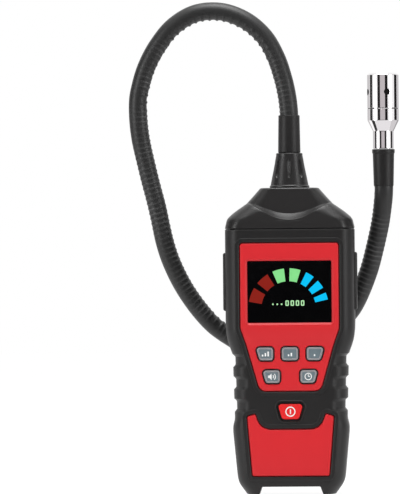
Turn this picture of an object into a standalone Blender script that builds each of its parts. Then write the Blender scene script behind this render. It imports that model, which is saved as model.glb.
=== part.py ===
"""Handheld gas leak detector with a flexible probe.

The instrument stands on its two feet, front towards -Y, +Z up, in metres.
A red front case shows through a black armour, a black rear case holds the
battery bay, and a fluted collar on the top cap holds a semi-rigid gooseneck
that arches over, passes behind the case and ends in a metal sensor head.
"""

import math

import bmesh
import bpy
from mathutils import Vector

MM = 0.001

# Gap kept between pieces that meet, and between a piece and the hole it sits in
CLEAR = 0.3 * MM
KEY_GAP = 0.4 * MM

# How far cutters reach past what they cut
PAST = 1.0 * MM
FAR = 60.0 * MM

# Display window; the head of the case is laid out round it
WINDOW_WIDTH = 48.3 * MM
WINDOW_HEIGHT = 35.6 * MM
PANEL_BESIDE_WINDOW = 3.95 * MM
ARMOUR_BESIDE_PANEL = 8.95 * MM
CASE_BELOW_WINDOW = 4.4 * MM
CASE_ABOVE_WINDOW = 17.9 * MM

# Cells; the handle of the case is laid out round them
CELL_COUNT = 3
CELL_RADIUS = 5.25 * MM
CELL_LENGTH = 44.5 * MM
CELL_SPACE = 0.45 * MM
CELL_PITCH = 2.0 * CELL_RADIUS + CELL_SPACE
DOOR_BESIDE_CELLS = 1.575 * MM
CASE_BESIDE_DOOR = 15.3 * MM
CASE_BEHIND_CELLS = 3.9 * MM

# Case: overall sizes
PARTING_Y = 3.0 * MM
BAY_FLOOR_Y = PARTING_Y + CLEAR + CLEAR
SHOULDER_LOW = 80.4 * MM
SHOULDER_HIGH = 94.0 * MM
PANEL_HALF_WIDTH = WINDOW_WIDTH / 2.0 + PANEL_BESIDE_WINDOW
HEAD_HALF_WIDTH = PANEL_HALF_WIDTH + ARMOUR_BESIDE_PANEL
HANDLE_FRONT_DEPTH = 18.8 * MM
HEAD_DEPTH = HANDLE_FRONT_DEPTH + 1.2 * MM
HANDLE_BACK_DEPTH = BAY_FLOOR_Y + 2.0 * CELL_RADIUS + CASE_BEHIND_CELLS
CASE_TOP = SHOULDER_HIGH + CASE_BELOW_WINDOW + WINDOW_HEIGHT + CASE_ABOVE_WINDOW
CORNER_X = 8.5 * MM
CORNER_Y = 11.0 * MM
ARMOUR_WALL = 2.0 * MM
CASE_WALL = 1.8 * MM
REAR_WALL = 2.0 * MM
CASE_LAP = 1.4 * MM

# Case: plain half width at each height, from the feet to the top
DOOR_HALF_WIDTH = CELL_COUNT * CELL_PITCH / 2.0 + DOOR_BESIDE_CELLS
BULGE_HALF_WIDTH = DOOR_HALF_WIDTH + CASE_BESIDE_DOOR
WAIST_HALF_WIDTH = BULGE_HALF_WIDTH - 0.1 * MM
HALF_WIDTHS = (
    (0.0, BULGE_HALF_WIDTH - 8.1 * MM),
    (3.0 * MM, BULGE_HALF_WIDTH - 5.8 * MM),
    (6.4 * MM, BULGE_HALF_WIDTH - 3.4 * MM),
    (9.5 * MM, BULGE_HALF_WIDTH - 2.5 * MM),
    (13.5 * MM, BULGE_HALF_WIDTH - 2.1 * MM),
    (36.0 * MM, BULGE_HALF_WIDTH),
    (39.5 * MM, BULGE_HALF_WIDTH),
    (43.5 * MM, WAIST_HALF_WIDTH - 1.0 * MM),
    (SHOULDER_LOW, WAIST_HALF_WIDTH),
    (SHOULDER_LOW + 4.5 * MM, HEAD_HALF_WIDTH - 2.1 * MM),
    (SHOULDER_LOW + 8.5 * MM, HEAD_HALF_WIDTH - 0.9 * MM),
    (SHOULDER_HIGH, HEAD_HALF_WIDTH - 0.2 * MM),
    (SHOULDER_HIGH + 5.0 * MM, HEAD_HALF_WIDTH),
    (CASE_TOP, HEAD_HALF_WIDTH),
)
FRONT_DEPTHS = (
    (0.0, HANDLE_FRONT_DEPTH - 2.2 * MM),
    (3.0 * MM, HANDLE_FRONT_DEPTH - 1.3 * MM),
    (6.4 * MM, HANDLE_FRONT_DEPTH - 0.6 * MM),
    (13.5 * MM, HANDLE_FRONT_DEPTH),
    (84.5 * MM, HANDLE_FRONT_DEPTH),
    (SHOULDER_HIGH, HEAD_DEPTH),
    (CASE_TOP, HEAD_DEPTH),
)
BACK_DEPTHS = (
    (0.0, HANDLE_BACK_DEPTH - 0.8 * MM),
    (3.0 * MM, HANDLE_BACK_DEPTH),
    (84.5 * MM, HANDLE_BACK_DEPTH),
    (SHOULDER_HIGH, HEAD_DEPTH),
    (CASE_TOP, HEAD_DEPTH),
)

# Grip notches in the handle's sides
NOTCH_COUNT = 3
NOTCH_FIRST_Z = 51.4 * MM
NOTCH_PITCH = 12.75 * MM
NOTCH_WIDTH = 5.0 * MM
NOTCH_RAMP = 1.1 * MM
NOTCH_DEPTH = 1.4 * MM

# Side pads, moulded proud of the case
PAD_LENGTH = 33.4 * MM
PAD_HIGH = CASE_TOP - 13.2 * MM
PAD_LOW = PAD_HIGH - PAD_LENGTH
PAD_PROUD = 1.35 * MM
PAD_HALF_DEPTH = 9.5 * MM
PAD_EDGE = 1.0 * MM

# Feet
NOTCH_TOP_Z = 3.8 * MM
FEET_GAP_LOW = 2.0 * (BULGE_HALF_WIDTH - 14.85 * MM)
FEET_GAP_HIGH = FEET_GAP_LOW - 3.5 * MM
SOLE_THICK = 2.2 * MM

# Red panels: (x, z, corner radius) of the right-hand side, from the top down
PANEL_PROUD = 0.25 * MM
UPPER_PANEL_TOP = CASE_TOP - 8.0 * MM
UPPER_PANEL_BOTTOM = 58.4 * MM
UPPER_PANEL_RIGHT = (
    (PANEL_HALF_WIDTH, UPPER_PANEL_TOP, 2.6 * MM),
    (PANEL_HALF_WIDTH, SHOULDER_HIGH - 1.4 * MM, 7.0 * MM),
    (PANEL_HALF_WIDTH - 3.1 * MM, SHOULDER_LOW + 5.2 * MM, 12.0 * MM),
    (WAIST_HALF_WIDTH - 14.6 * MM, UPPER_PANEL_BOTTOM, 4.2 * MM),
)
LOWER_PANEL_TOP = 45.4 * MM
LOWER_PANEL_DIP = 36.3 * MM
LOWER_PANEL_BOTTOM = 10.2 * MM
LOWER_PANEL_RIGHT = (
    (BULGE_HALF_WIDTH - 14.9 * MM, LOWER_PANEL_DIP, 6.5 * MM),
    (BULGE_HALF_WIDTH - 12.7 * MM, LOWER_PANEL_TOP, 1.3 * MM),
    (BULGE_HALF_WIDTH - 8.5 * MM, LOWER_PANEL_TOP, 1.6 * MM),
    (BULGE_HALF_WIDTH - 11.1 * MM, LOWER_PANEL_BOTTOM, 1.0 * MM),
)

# Display
WINDOW_Z = SHOULDER_HIGH + CASE_BELOW_WINDOW + WINDOW_HEIGHT / 2.0
WINDOW_CORNER = 0.9 * MM
WINDOW_RECESS = 0.9 * MM
WINDOW_THICK = 1.2 * MM
WINDOW_BEVEL = 0.7 * MM
WINDOW_LEDGE = 2.0 * MM
GASKET_THICK = 0.8 * MM
GASKET_INSET = 2.0 * MM
MODULE_WIDTH = WINDOW_WIDTH + 11.2 * MM
MODULE_HEIGHT = WINDOW_HEIGHT + 7.1 * MM
MODULE_THICK = 2.6 * MM
BRACKET_RIM = 3.0 * MM

# Keys: reach of each from the middle line, at its inner edge and at its top outer corner
KEY_HEIGHT = 8.0 * MM
ROW_1_INNER = 9.65 * MM
ROW_1_OUTER = 19.5 * MM
ROW_1_LEAN = 1.8 * MM
ROW_2_INNER = 5.9 * MM
ROW_2_OUTER = 15.8 * MM
ROW_2_LEAN = 1.6 * MM
MIDDLE_KEY_WIDTH = 9.3 * MM
POWER_HALF_WIDTH = 7.3 * MM
POWER_LEAN = 1.45 * MM
KEY_CORNER = 1.7 * MM
KEY_PROUD = 0.8 * MM
KEY_EDGE = 0.45 * MM
KEY_FLANGE = 1.0 * MM
KEY_TRAVEL = 1.0 * MM
KEY_STEM_RADIUS = 1.5 * MM
ROW_1_Z = SHOULDER_LOW
ROW_2_Z = ROW_1_Z - 13.1 * MM
POWER_Z = 47.2 * MM
POWER_HEIGHT = 9.5 * MM
POWER_RIM_WIDTH = 2.3 * MM
POWER_RIM_PROUD = 0.4 * MM

# Circuit board and what stands on it
BOARD_FRONT_Y = 10.8 * MM - HANDLE_FRONT_DEPTH
BOARD_THICK = 1.6 * MM
BOARD_TOP = CASE_TOP - 5.9 * MM
BOARD_BOTTOM = 39.0 * MM
BOARD_HEAD_HALF_WIDTH = HEAD_HALF_WIDTH - 6.05 * MM
BOARD_HANDLE_HALF_WIDTH = WAIST_HALF_WIDTH - 8.2 * MM
SWITCH_SIZE = 6.0 * MM
SWITCH_HEIGHT = 3.6 * MM
SWITCH_WELL_DEPTH = 1.7 * MM
STEM_IN_WELL = 0.3 * MM
BUZZER_RADIUS = 6.0 * MM
BUZZER_HEIGHT = 5.0 * MM
BUZZER_PORT_RADIUS = 1.2 * MM
BUZZER_PORT_DEPTH = 1.5 * MM
BUZZER_Z = WINDOW_Z - 12.2 * MM
PLUG_HALF_WIDTH = 5.0 * MM
PLUG_DEPTH = 4.5 * MM
PLUG_HEIGHT = 6.0 * MM
LEAD_RADIUS = 1.3 * MM
LEAD_POINT_SPACING = 2.5 * MM
POST_RADIUS = 2.2 * MM
POSTS = (
    (HEAD_HALF_WIDTH - 17.05 * MM, CASE_TOP - 8.9 * MM),
    (HEAD_HALF_WIDTH - 9.85 * MM, SHOULDER_HIGH - 3.5 * MM),
    (BOARD_HANDLE_HALF_WIDTH - 2.6 * MM, BOARD_BOTTOM + 2.6 * MM),
)

# Case screws, driven from the back: (x, z) of the right-hand pair
SCREW_PLACES = (
    (HEAD_HALF_WIDTH - 8.45 * MM, CASE_TOP - 9.3 * MM),
    (BULGE_HALF_WIDTH - 8.7 * MM, 14.5 * MM),
)
BOSS_RADIUS = 3.1 * MM
SCREW_RADIUS = 1.3 * MM
SCREW_HEAD_RADIUS = 2.4 * MM
SCREW_HEAD_HEIGHT = 1.8 * MM
SCREW_ENGAGEMENT = 6.0 * MM
SCREW_COUNTERBORE = 3.2 * MM

# Battery bay
CONTACT_THICK = 0.4 * MM
CONTACT_HALF_DEPTH = 3.8 * MM
SPRING_LOW_RADIUS = 3.9 * MM
SPRING_HIGH_RADIUS = 2.2 * MM
SPRING_HEIGHT = 3.8 * MM
SPRING_WIRE_RADIUS = 0.35 * MM
SPRING_TURNS = 3.0
BAY_LOW = 8.0 * MM
BAY_WALL = 1.5 * MM

# Battery door, which slides down between the feet
DOOR_THICK = 1.9 * MM
DOOR_SUNK = 0.2 * MM
DOOR_TONGUE = 1.6 * MM
DOOR_TONGUE_THICK = 0.8 * MM
DOOR_LIP = 1.0 * MM
RAIL_DEPTH = 3.5 * MM
DOOR_GRIP_COUNT = 5
DOOR_GRIP_PITCH = 2.2 * MM
DOOR_GRIP_BELOW_TOP = 8.0 * MM
DOOR_GRIP_HALF_WIDTH = 8.0 * MM
DOOR_GRIP_HALF_HEIGHT = 0.5 * MM
DOOR_GRIP_DEPTH = 0.7 * MM

# Top cap. Rings from the seam up and, for the inside, from the lip up:
# (share of the height, drawn in from the sides, from front and back,
# share of the height by which front and back drop, corner share)
CAP_SEAM = CASE_TOP + CLEAR
CAP_HEIGHT = 23.5 * MM
CAP_TOP = CAP_SEAM + CAP_HEIGHT
CAP_LIP = 4.5 * MM
CAP_WALL = 2.6 * MM
CAP_DROP_POWER = 1.6
CAP_FLAT_STEPS = 4
CAP_RINGS = (
    (0.119, 0.5 * MM, 0.1 * MM, 0.0, 0.25),
    (0.255, 1.6 * MM, 0.2 * MM, 0.068, 0.3),
    (0.404, 5.35 * MM, 0.3 * MM, 0.209, 0.38),
    (0.549, 10.15 * MM, 0.4 * MM, 0.336, 0.45),
    (0.617, 12.45 * MM, 0.5 * MM, 0.391, 0.5),
    (0.64, 13.0 * MM, 4.7 * MM, 0.27, 0.42),
    (0.774, 15.85 * MM, 5.3 * MM, 0.187, 0.4),
    (0.949, 19.45 * MM, 6.3 * MM, 0.043, 0.4),
    (1.0, 20.45 * MM, 6.8 * MM, 0.0, 0.4),
)
CAP_INSIDE = (
    (0.153, 7.6 * MM, 4.7 * MM, 0.021, 0.6),
    (0.485, 16.55 * MM, 7.1 * MM, 0.149, 0.9),
    (1.0 - CAP_WALL / CAP_HEIGHT, 23.45 * MM, 9.7 * MM, 0.0, 0.94),
)

# Fluted collar and what anchors the gooseneck in it
COLLAR_BASE_RADIUS = 11.45 * MM
COLLAR_TOP_RADIUS = 7.6 * MM
COLLAR_HEIGHT = 20.0 * MM
FLUTE_COUNT = 8
FLUTE_HALF_LENGTH = 5.7 * MM
FLUTE_HALF_WIDTH = 1.6 * MM
FLUTE_DEPTH = 0.9 * MM
FLUTE_SHARE = 0.55
FERRULE_RADIUS = 4.75 * MM
FERRULE_BORE = 2.6 * MM
FERRULE_LOW = CAP_TOP - 14.7 * MM
NUT_HALF_FLATS = HEAD_DEPTH - 12.0 * MM
NUT_THICK = 4.0 * MM

# Gooseneck
NECK_RADIUS = 5.25 * MM
NECK_POINT_SPACING = 5.5 * MM
BOOT_LENGTH = 21.2 * MM
ROOT_BOOT_LOW_RADIUS = 6.45 * MM
ROOT_BOOT_HIGH_RADIUS = 6.1 * MM
HEAD_X = 54.1 * MM
HEAD_BOOT_LOW = CAP_TOP + 0.6 * MM
HEAD_BOOT_RADIUS = 6.15 * MM
HEAD_BOOT_LIP_RADIUS = 6.5 * MM
NECK_START_Z = CAP_TOP + CLEAR + COLLAR_HEIGHT + 2.0 * CLEAR
NECK_END_Z = HEAD_BOOT_LOW + BOOT_LENGTH - CLEAR

# Route of the gooseneck: arch to the left, run behind the case, rise to the head.
# Millimetres from the middle of the cap's top
NECK_ROUTE = (
    (0.0, 0.0, 38.3),
    (-0.3, 0.0, 45.8),
    (-1.3, 0.0, 53.8),
    (-3.4, 0.0, 63.4),
    (-7.3, 0.0, 75.1),
    (-14.0, 0.0, 86.9),
    (-24.7, 0.2, 96.3),
    (-38.5, 0.8, 101.5),
    (-53.3, 1.8, 100.7),
    (-66.1, 3.0, 93.5),
    (-75.1, 4.2, 82.7),
    (-81.2, 5.5, 71.4),
    (-84.9, 6.8, 60.2),
    (-86.7, 8.0, 49.0),
    (-85.4, 10.2, 31.5),
    (-81.2, 13.2, 10.7),
    (-76.2, 16.5, -10.0),
    (-71.6, 19.5, -30.8),
    (-66.9, 21.6, -44.6),
    (-59.7, 23.8, -58.5),
    (-49.7, 26.0, -72.3),
    (-39.5, 27.3, -82.2),
    (-23.3, 27.8, -91.8),
    (-8.9, 27.8, -94.5),
    (5.5, 27.8, -92.4),
    (19.9, 27.6, -85.9),
    (32.8, 26.3, -73.5),
    (38.9, 24.6, -63.9),
    (45.0, 20.4, -49.0),
    (49.0, 15.4, -35.2),
    (51.9, 9.2, -21.5),
    (53.4, 3.8, -10.7),
    (54.1, 0.4, -2.2),
)

# Metal sensor head, heights above the head boot
HEAD_RADIUS = 9.05 * MM
HEAD_STEM_RADIUS = 5.95 * MM
HEAD_STEM_HEIGHT = 10.0 * MM
HEAD_CONE_HEIGHT = 6.2 * MM
HEAD_RING_HEIGHT = 6.7 * MM
HEAD_CAP_HEIGHT = 20.2 * MM
HEAD_CAP_CHAMFER = 1.1 * MM
HEAD_CAP_WALL = 1.2 * MM
HEAD_SPIGOT_HEIGHT = 4.5 * MM
HEAD_BORE = 2.6 * MM
VENT_COUNT = 4
VENT_RADIUS = 1.85 * MM
VENT_HEIGHT = 9.3 * MM
VENT_FIRST_ANGLE = -74.0
SENSOR_RADIUS = 4.8 * MM
SENSOR_HEIGHT = 8.5 * MM

# Facets in each arc of an outline, a key's corner, a small corner and the case's corner
ARC_STEPS = 5
KEY_STEPS = 3
SMALL_STEPS = 1
CORNER_STEPS = 5


# Collections, materials and objects

def fresh_collection(name):
    collection = bpy.data.collections.new(name)
    bpy.context.scene.collection.children.link(collection)
    return collection


def clear_scene():
    for item in list(bpy.data.objects):
        bpy.data.objects.remove(item, do_unlink=True)


def material(name, colour, roughness, metallic=0.0):
    """A Principled material; colour is linear RGB."""
    made = bpy.data.materials.new(name)
    made.use_nodes = True
    shader = made.node_tree.nodes["Principled BSDF"]
    shader.inputs["Base Color"].default_value = (*colour, 1.0)
    shader.inputs["Roughness"].default_value = roughness
    shader.inputs["Metallic"].default_value = metallic
    return made


clear_scene()
PARTS = fresh_collection("gas_leak_detector")
CUTTERS = fresh_collection("cutters")
ROOT = bpy.data.objects.new("detector", None)
PARTS.objects.link(ROOT)

BLACK_RUBBER = material("black_elastomer", (0.026, 0.025, 0.025), 0.62)
BLACK_PLASTIC = material("black_abs", (0.024, 0.023, 0.023), 0.5)
RED_PLASTIC = material("red_abs", (0.72, 0.024, 0.034), 0.42)
GREY_RUBBER = material("grey_silicone", (0.2, 0.22, 0.24), 0.55)
RED_RUBBER = material("red_silicone", (0.85, 0.03, 0.03), 0.5)
CHROME = material("chrome_plate", (0.86, 0.85, 0.86), 0.08, 1.0)
STEEL = material("zinc_plated_steel", (0.55, 0.55, 0.57), 0.3, 1.0)
WINDOW = material("smoked_acrylic", (0.004, 0.004, 0.005), 0.08)
BOARD_GREEN = material("board_laminate", (0.02, 0.12, 0.05), 0.5)
FOAM = material("black_foam", (0.02, 0.02, 0.02), 0.9)
CELL_WRAP = material("cell_wrap", (0.05, 0.06, 0.09), 0.35)
NYLON = material("white_nylon", (0.75, 0.73, 0.68), 0.5)


def mesh_object(name, bm, look=None):
    """Makes an object from a bmesh: a part if it has a material, else a cutter."""
    bmesh.ops.recalc_face_normals(bm, faces=bm.faces[:])
    mesh = bpy.data.meshes.new(name)
    bm.to_mesh(mesh)
    bm.free()
    item = bpy.data.objects.new(name, mesh)
    return placed(item, look)


def placed(item, look):
    if look is None:
        CUTTERS.objects.link(item)
        item.hide_render = True
        item.display_type = "WIRE"
    else:
        PARTS.objects.link(item)
        item.data.materials.append(look)
        item.parent = ROOT
    return item


def smooth(item, degrees=32.0):
    item.data.shade_smooth()
    item.data.set_sharp_from_angle(angle=math.radians(degrees))
    return item


def boolean(item, other, operation):
    change = item.modifiers.new(f"{operation.lower()}_{other.name}", "BOOLEAN")
    change.operation = operation
    change.object = other
    change.solver = "EXACT"
    return item


def cut(item, *others):
    for other in others:
        boolean(item, other, "DIFFERENCE")
    return item


def join(item, *others):
    for other in others:
        boolean(item, other, "UNION")
    return item


# Outlines and solids

def interpolate(table, height):
    """Reads a (height, value) table between its rows."""
    for (low, low_value), (high, high_value) in zip(table, table[1:]):
        if height <= high:
            share = max(0.0, height - low) / (high - low)
            return low_value + share * (high_value - low_value)
    return table[-1][1]


def ring_loft(name, rings, look=None):
    """Skins closed rings with the same number of points, and closes both ends."""
    bm = bmesh.new()
    rows = [[bm.verts.new(point) for point in ring] for ring in rings]
    count = len(rows[0])
    for lower, upper in zip(rows, rows[1:]):
        for index in range(count):
            after = (index + 1) % count
            bm.faces.new((lower[index], lower[after], upper[after], upper[index]))
    bm.faces.new(rows[0])
    bm.faces.new(rows[-1])
    return mesh_object(name, bm, look)


def grown(corners, distance):
    """Moves every edge of a closed outline outwards; corners are (x, z, radius)."""
    result = []
    for index, (x, z, radius) in enumerate(corners):
        here = Vector((x, z))
        before = Vector(corners[index - 1][:2])
        after = Vector(corners[(index + 1) % len(corners)][:2])
        first = (here - before).normalized()
        second = (after - here).normalized()
        first_normal = Vector((first.y, -first.x))
        second_normal = Vector((second.y, -second.x))
        shift = (first_normal + second_normal) / (1.0 + first_normal.dot(second_normal))
        turn = first.x * second.y - first.y * second.x
        side = 1.0 if turn > 0.0 else -1.0
        moved = here + shift * distance
        result.append((moved.x, moved.y, max(radius + side * distance, 0.2 * MM)))
    return result


def rounded(corners, steps=ARC_STEPS):
    """Replaces each (x, z, radius) corner by an arc; returns (x, z) points."""
    points = []
    for index, (x, z, radius) in enumerate(corners):
        here = Vector((x, z))
        before = Vector(corners[index - 1][:2])
        after = Vector(corners[(index + 1) % len(corners)][:2])
        first = (here - before).normalized()
        second = (after - here).normalized()
        turn = math.atan2(first.x * second.y - first.y * second.x, first.dot(second))
        reach = radius * math.tan(abs(turn) / 2.0)
        side = math.copysign(1.0, turn)
        centre = here - first * reach + Vector((-first.y, first.x)) * radius * side
        arm = here - first * reach - centre
        for step in range(steps + 1):
            angle = turn * step / steps
            spun = Vector((
                arm.x * math.cos(angle) - arm.y * math.sin(angle),
                arm.x * math.sin(angle) + arm.y * math.cos(angle),
            ))
            points.append(tuple(centre + spun))
    return points


def mirrored(right_side):
    """Closes an outline from its right-hand corners, listed in order down the side."""
    left_side = [(-x, z, radius) for x, z, radius in right_side]
    return left_side + list(reversed(right_side))


def rectangle(width, height, x=0.0, z=0.0, radius=0.5 * MM):
    half_x = width / 2.0
    half_z = height / 2.0
    return [
        (x - half_x, z - half_z, radius),
        (x + half_x, z - half_z, radius),
        (x + half_x, z + half_z, radius),
        (x - half_x, z + half_z, radius),
    ]


def plates(name, layers, look=None):
    """Lofts (y, outline) layers from front to back."""
    rings = [[(x, y, z) for x, z in outline] for y, outline in layers]
    return ring_loft(name, rings, look)


def prism(name, corners, front, back, look=None, steps=ARC_STEPS):
    outline = rounded(corners, steps)
    return plates(name, [(front, outline), (back, outline)], look)


def disc(name, x, z, radius, front, back, look=None, sides=16):
    outline = circle(sides, radius, x, z)
    return plates(name, [(front, outline), (back, outline)], look)


def circle(sides, radius, x=0.0, z=0.0):
    turn = 2.0 * math.pi / sides
    return [(x + radius * math.cos(turn * i), z + radius * math.sin(turn * i)) for i in range(sides)]


def block(name, low, high, look=None, edge=0.0):
    """A box between two corners, with its edges rounded if asked."""
    bm = bmesh.new()
    bmesh.ops.create_cube(bm, size=1.0)
    low = Vector(low)
    high = Vector(high)
    for vert in bm.verts:
        vert.co = Vector((
            low.x + (vert.co.x + 0.5) * (high.x - low.x),
            low.y + (vert.co.y + 0.5) * (high.y - low.y),
            low.z + (vert.co.z + 0.5) * (high.z - low.z),
        ))
    item = mesh_object(name, bm, look)
    if edge > 0.0:
        bevel = item.modifiers.new("edges", "BEVEL")
        bevel.width = edge
        bevel.segments = 2
    return item


def turned(name, profile, look=None, steps=24, location=(0.0, 0.0, 0.0), closed=False):
    """Turns an (r, z) profile, listed down its outer side, about the Z axis."""
    mesh = bpy.data.meshes.new(name)
    points = [(radius, 0.0, z) for radius, z in profile]
    edges = [(index, index + 1) for index in range(len(points) - 1)]
    if closed:
        edges.append((len(points) - 1, 0))
    mesh.from_pydata(points, edges, [])
    item = placed(bpy.data.objects.new(name, mesh), look)
    item.location = location
    screw = item.modifiers.new("turn", "SCREW")
    screw.steps = steps
    screw.render_steps = steps
    screw.use_merge_vertices = True
    screw.merge_threshold = 0.00001
    screw.use_smooth_shade = True
    return item


def tube(name, points, radius, look, resolution):
    """A round bar along a path, with both ends closed."""
    curve = bpy.data.curves.new(name, "CURVE")
    curve.dimensions = "3D"
    curve.bevel_depth = radius
    curve.bevel_resolution = resolution
    curve.use_fill_caps = True
    spline = curve.splines.new("POLY")
    spline.points.add(len(points) - 1)
    for place, point in zip(spline.points, points):
        place.co = (*point, 1.0)
    return placed(bpy.data.objects.new(name, curve), look)


def through(points, spacing):
    """A smooth curve through points, read at even steps."""
    padded = [points[0] * 2.0 - points[1], *points, points[-1] * 2.0 - points[-2]]
    fine = []
    for a, b, c, d in zip(padded, padded[1:], padded[2:], padded[3:]):
        for step in range(16):
            t = step / 16.0
            fine.append(0.5 * (
                2.0 * b
                + (c - a) * t
                + (2.0 * a - 5.0 * b + 4.0 * c - d) * t ** 2
                + (3.0 * b - a - 3.0 * c + d) * t ** 3
            ))
    fine.append(points[-1])
    length = sum((after - before).length for before, after in zip(fine, fine[1:]))
    count = round(length / spacing)
    step = length / count
    result = [fine[0]]
    walked = 0.0
    for before, after in zip(fine, fine[1:]):
        piece = (after - before).length
        while walked + piece >= step * len(result) and len(result) < count:
            share = (step * len(result) - walked) / piece
            result.append(before.lerp(after, share))
        walked += piece
    result.append(fine[-1])
    return result


# Sections of the case

def notch_share(height):
    """1 inside a grip notch, 0 outside, with a ramp between."""
    for index in range(NOTCH_COUNT):
        away = abs(height - NOTCH_FIRST_Z - index * NOTCH_PITCH)
        share = (NOTCH_WIDTH / 2.0 + NOTCH_RAMP - away) / NOTCH_RAMP
        if share > 0.0:
            return min(1.0, share)
    return 0.0


def grip_low():
    return NOTCH_FIRST_Z - NOTCH_WIDTH / 2.0 - NOTCH_RAMP


def grip_high():
    last = NOTCH_FIRST_Z + (NOTCH_COUNT - 1) * NOTCH_PITCH
    return last + NOTCH_WIDTH / 2.0 + NOTCH_RAMP


def outer_half_width(height):
    return interpolate(HALF_WIDTHS, height) - NOTCH_DEPTH * notch_share(height)


def inner_half_width(height):
    """The plain width behind the grip, so that the wall is whole at each notch."""
    below = (height - grip_low() + 2.0 * NOTCH_RAMP) / (2.0 * NOTCH_RAMP)
    above = (grip_high() + 2.0 * NOTCH_RAMP - height) / (2.0 * NOTCH_RAMP)
    share = max(0.0, min(1.0, below, above))
    return interpolate(HALF_WIDTHS, height) - NOTCH_DEPTH * share


def outer_heights(low, high):
    heights = [height for height, value in HALF_WIDTHS]
    for index in range(NOTCH_COUNT):
        middle = NOTCH_FIRST_Z + index * NOTCH_PITCH
        for reach in (NOTCH_WIDTH / 2.0, NOTCH_WIDTH / 2.0 + NOTCH_RAMP):
            heights += [middle - reach, middle + reach]
    return bounded_heights(heights, low, high)


def inner_heights(low, high):
    heights = [height for height, value in HALF_WIDTHS]
    heights += [grip_low() - 2.0 * NOTCH_RAMP, grip_low()]
    heights += [grip_high(), grip_high() + 2.0 * NOTCH_RAMP]
    return bounded_heights(heights, low, high)


def bounded_heights(heights, low, high):
    """Heights inside the limits, with none closer than 0.4 mm to the next."""
    result = [low]
    for height in sorted(heights):
        if height - result[-1] > 0.4 * MM and high - height > 0.4 * MM:
            result.append(height)
    return result + [high]


def half_section(half_width, face_y, flat_y, corner_x, corner_y):
    """One half of the case: straight at flat_y, with rounded corners at face_y."""
    side = math.copysign(1.0, face_y)
    points = [(half_width, flat_y)]
    for step in range(CORNER_STEPS + 1):
        angle = math.radians(90.0) * step / CORNER_STEPS
        x = half_width - corner_x + corner_x * math.cos(angle)
        y = face_y - side * (corner_y - corner_y * math.sin(angle))
        points.append((x, y))
    return points + [(-x, y) for x, y in reversed(points)]


def case_half(name, inset, low, high, flat_y, depths, side, ribbed=False, look=None):
    """A solid half of the case, drawn in from the outside by inset."""
    width_at = outer_half_width if ribbed else inner_half_width
    heights = (outer_heights if ribbed else inner_heights)(low, high)
    rings = []
    for height in heights:
        section = half_section(
            width_at(height) - inset,
            side * (interpolate(depths, height) - inset),
            flat_y,
            CORNER_X - inset / 2.0,
            CORNER_Y - inset,
        )
        rings.append([(x, y, height) for x, y in section])
    return ring_loft(name, rings, look)


def front_half(name, inset, low, high, flat_y, ribbed=False, look=None):
    return case_half(name, inset, low, high, flat_y, FRONT_DEPTHS, -1.0, ribbed, look)


def back_half(name, inset, low, high, flat_y, ribbed=False, look=None):
    return case_half(name, inset, low, high, flat_y, BACK_DEPTHS, 1.0, ribbed, look)


def cut_feet(item, name, gap_low, gap_high, front, back):
    """Cuts the gap between the feet, with its flare towards the floor."""
    flare = (gap_low - gap_high) / 2.0
    below = 1.0 * MM
    low = gap_low / 2.0 + flare * below / NOTCH_TOP_Z
    corners = [
        (-low, -below, 0.2 * MM),
        (low, -below, 0.2 * MM),
        (gap_high / 2.0, NOTCH_TOP_Z, 0.8 * MM),
        (-gap_high / 2.0, NOTCH_TOP_Z, 0.8 * MM),
    ]
    return cut(item, prism(name, corners, front, back))


def side_pad(name, side, front, back):
    """A raised pad on one side of the case, rounded at its ends."""
    outer = side * (HEAD_HALF_WIDTH + PAD_PROUD)
    inner = side * (HEAD_HALF_WIDTH - ARMOUR_WALL + CLEAR)
    low = (min(outer, inner), front, PAD_LOW)
    high = (max(outer, inner), back, PAD_HIGH)
    return block(name, low, high, edge=PAD_EDGE)


# Key shapes, as corner lists

def slanted_key(inner, outer, lean, z, side):
    """A key whose outer edge leans in towards the bottom."""
    low = z - KEY_HEIGHT / 2.0
    high = z + KEY_HEIGHT / 2.0
    right = [
        (inner, low, KEY_CORNER),
        (outer - lean, low, KEY_CORNER),
        (outer, high, KEY_CORNER),
        (inner, high, KEY_CORNER),
    ]
    if side > 0.0:
        return right
    return [(-x, corner_z, radius) for x, corner_z, radius in reversed(right)]


def power_shape():
    low = POWER_Z - POWER_HEIGHT / 2.0
    high = POWER_Z + POWER_HEIGHT / 2.0
    return [
        (POWER_LEAN - POWER_HALF_WIDTH, low, KEY_CORNER),
        (POWER_HALF_WIDTH - POWER_LEAN, low, KEY_CORNER),
        (POWER_HALF_WIDTH, high, KEY_CORNER),
        (-POWER_HALF_WIDTH, high, KEY_CORNER),
    ]


KEY_SHAPES = {
    "key_high": slanted_key(ROW_1_INNER, ROW_1_OUTER, ROW_1_LEAN, ROW_1_Z, -1.0),
    "key_middle": rectangle(MIDDLE_KEY_WIDTH, KEY_HEIGHT, 0.0, ROW_1_Z, KEY_CORNER),
    "key_low": slanted_key(ROW_1_INNER, ROW_1_OUTER, ROW_1_LEAN, ROW_1_Z, 1.0),
    "key_sound": slanted_key(ROW_2_INNER, ROW_2_OUTER, ROW_2_LEAN, ROW_2_Z, -1.0),
    "key_timer": slanted_key(ROW_2_INNER, ROW_2_OUTER, ROW_2_LEAN, ROW_2_Z, 1.0),
    "key_power": power_shape(),
}


def centre_of(corners):
    x = sum(corner[0] for corner in corners) / len(corners)
    z = sum(corner[1] for corner in corners) / len(corners)
    return x, z


# Case parts

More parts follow.
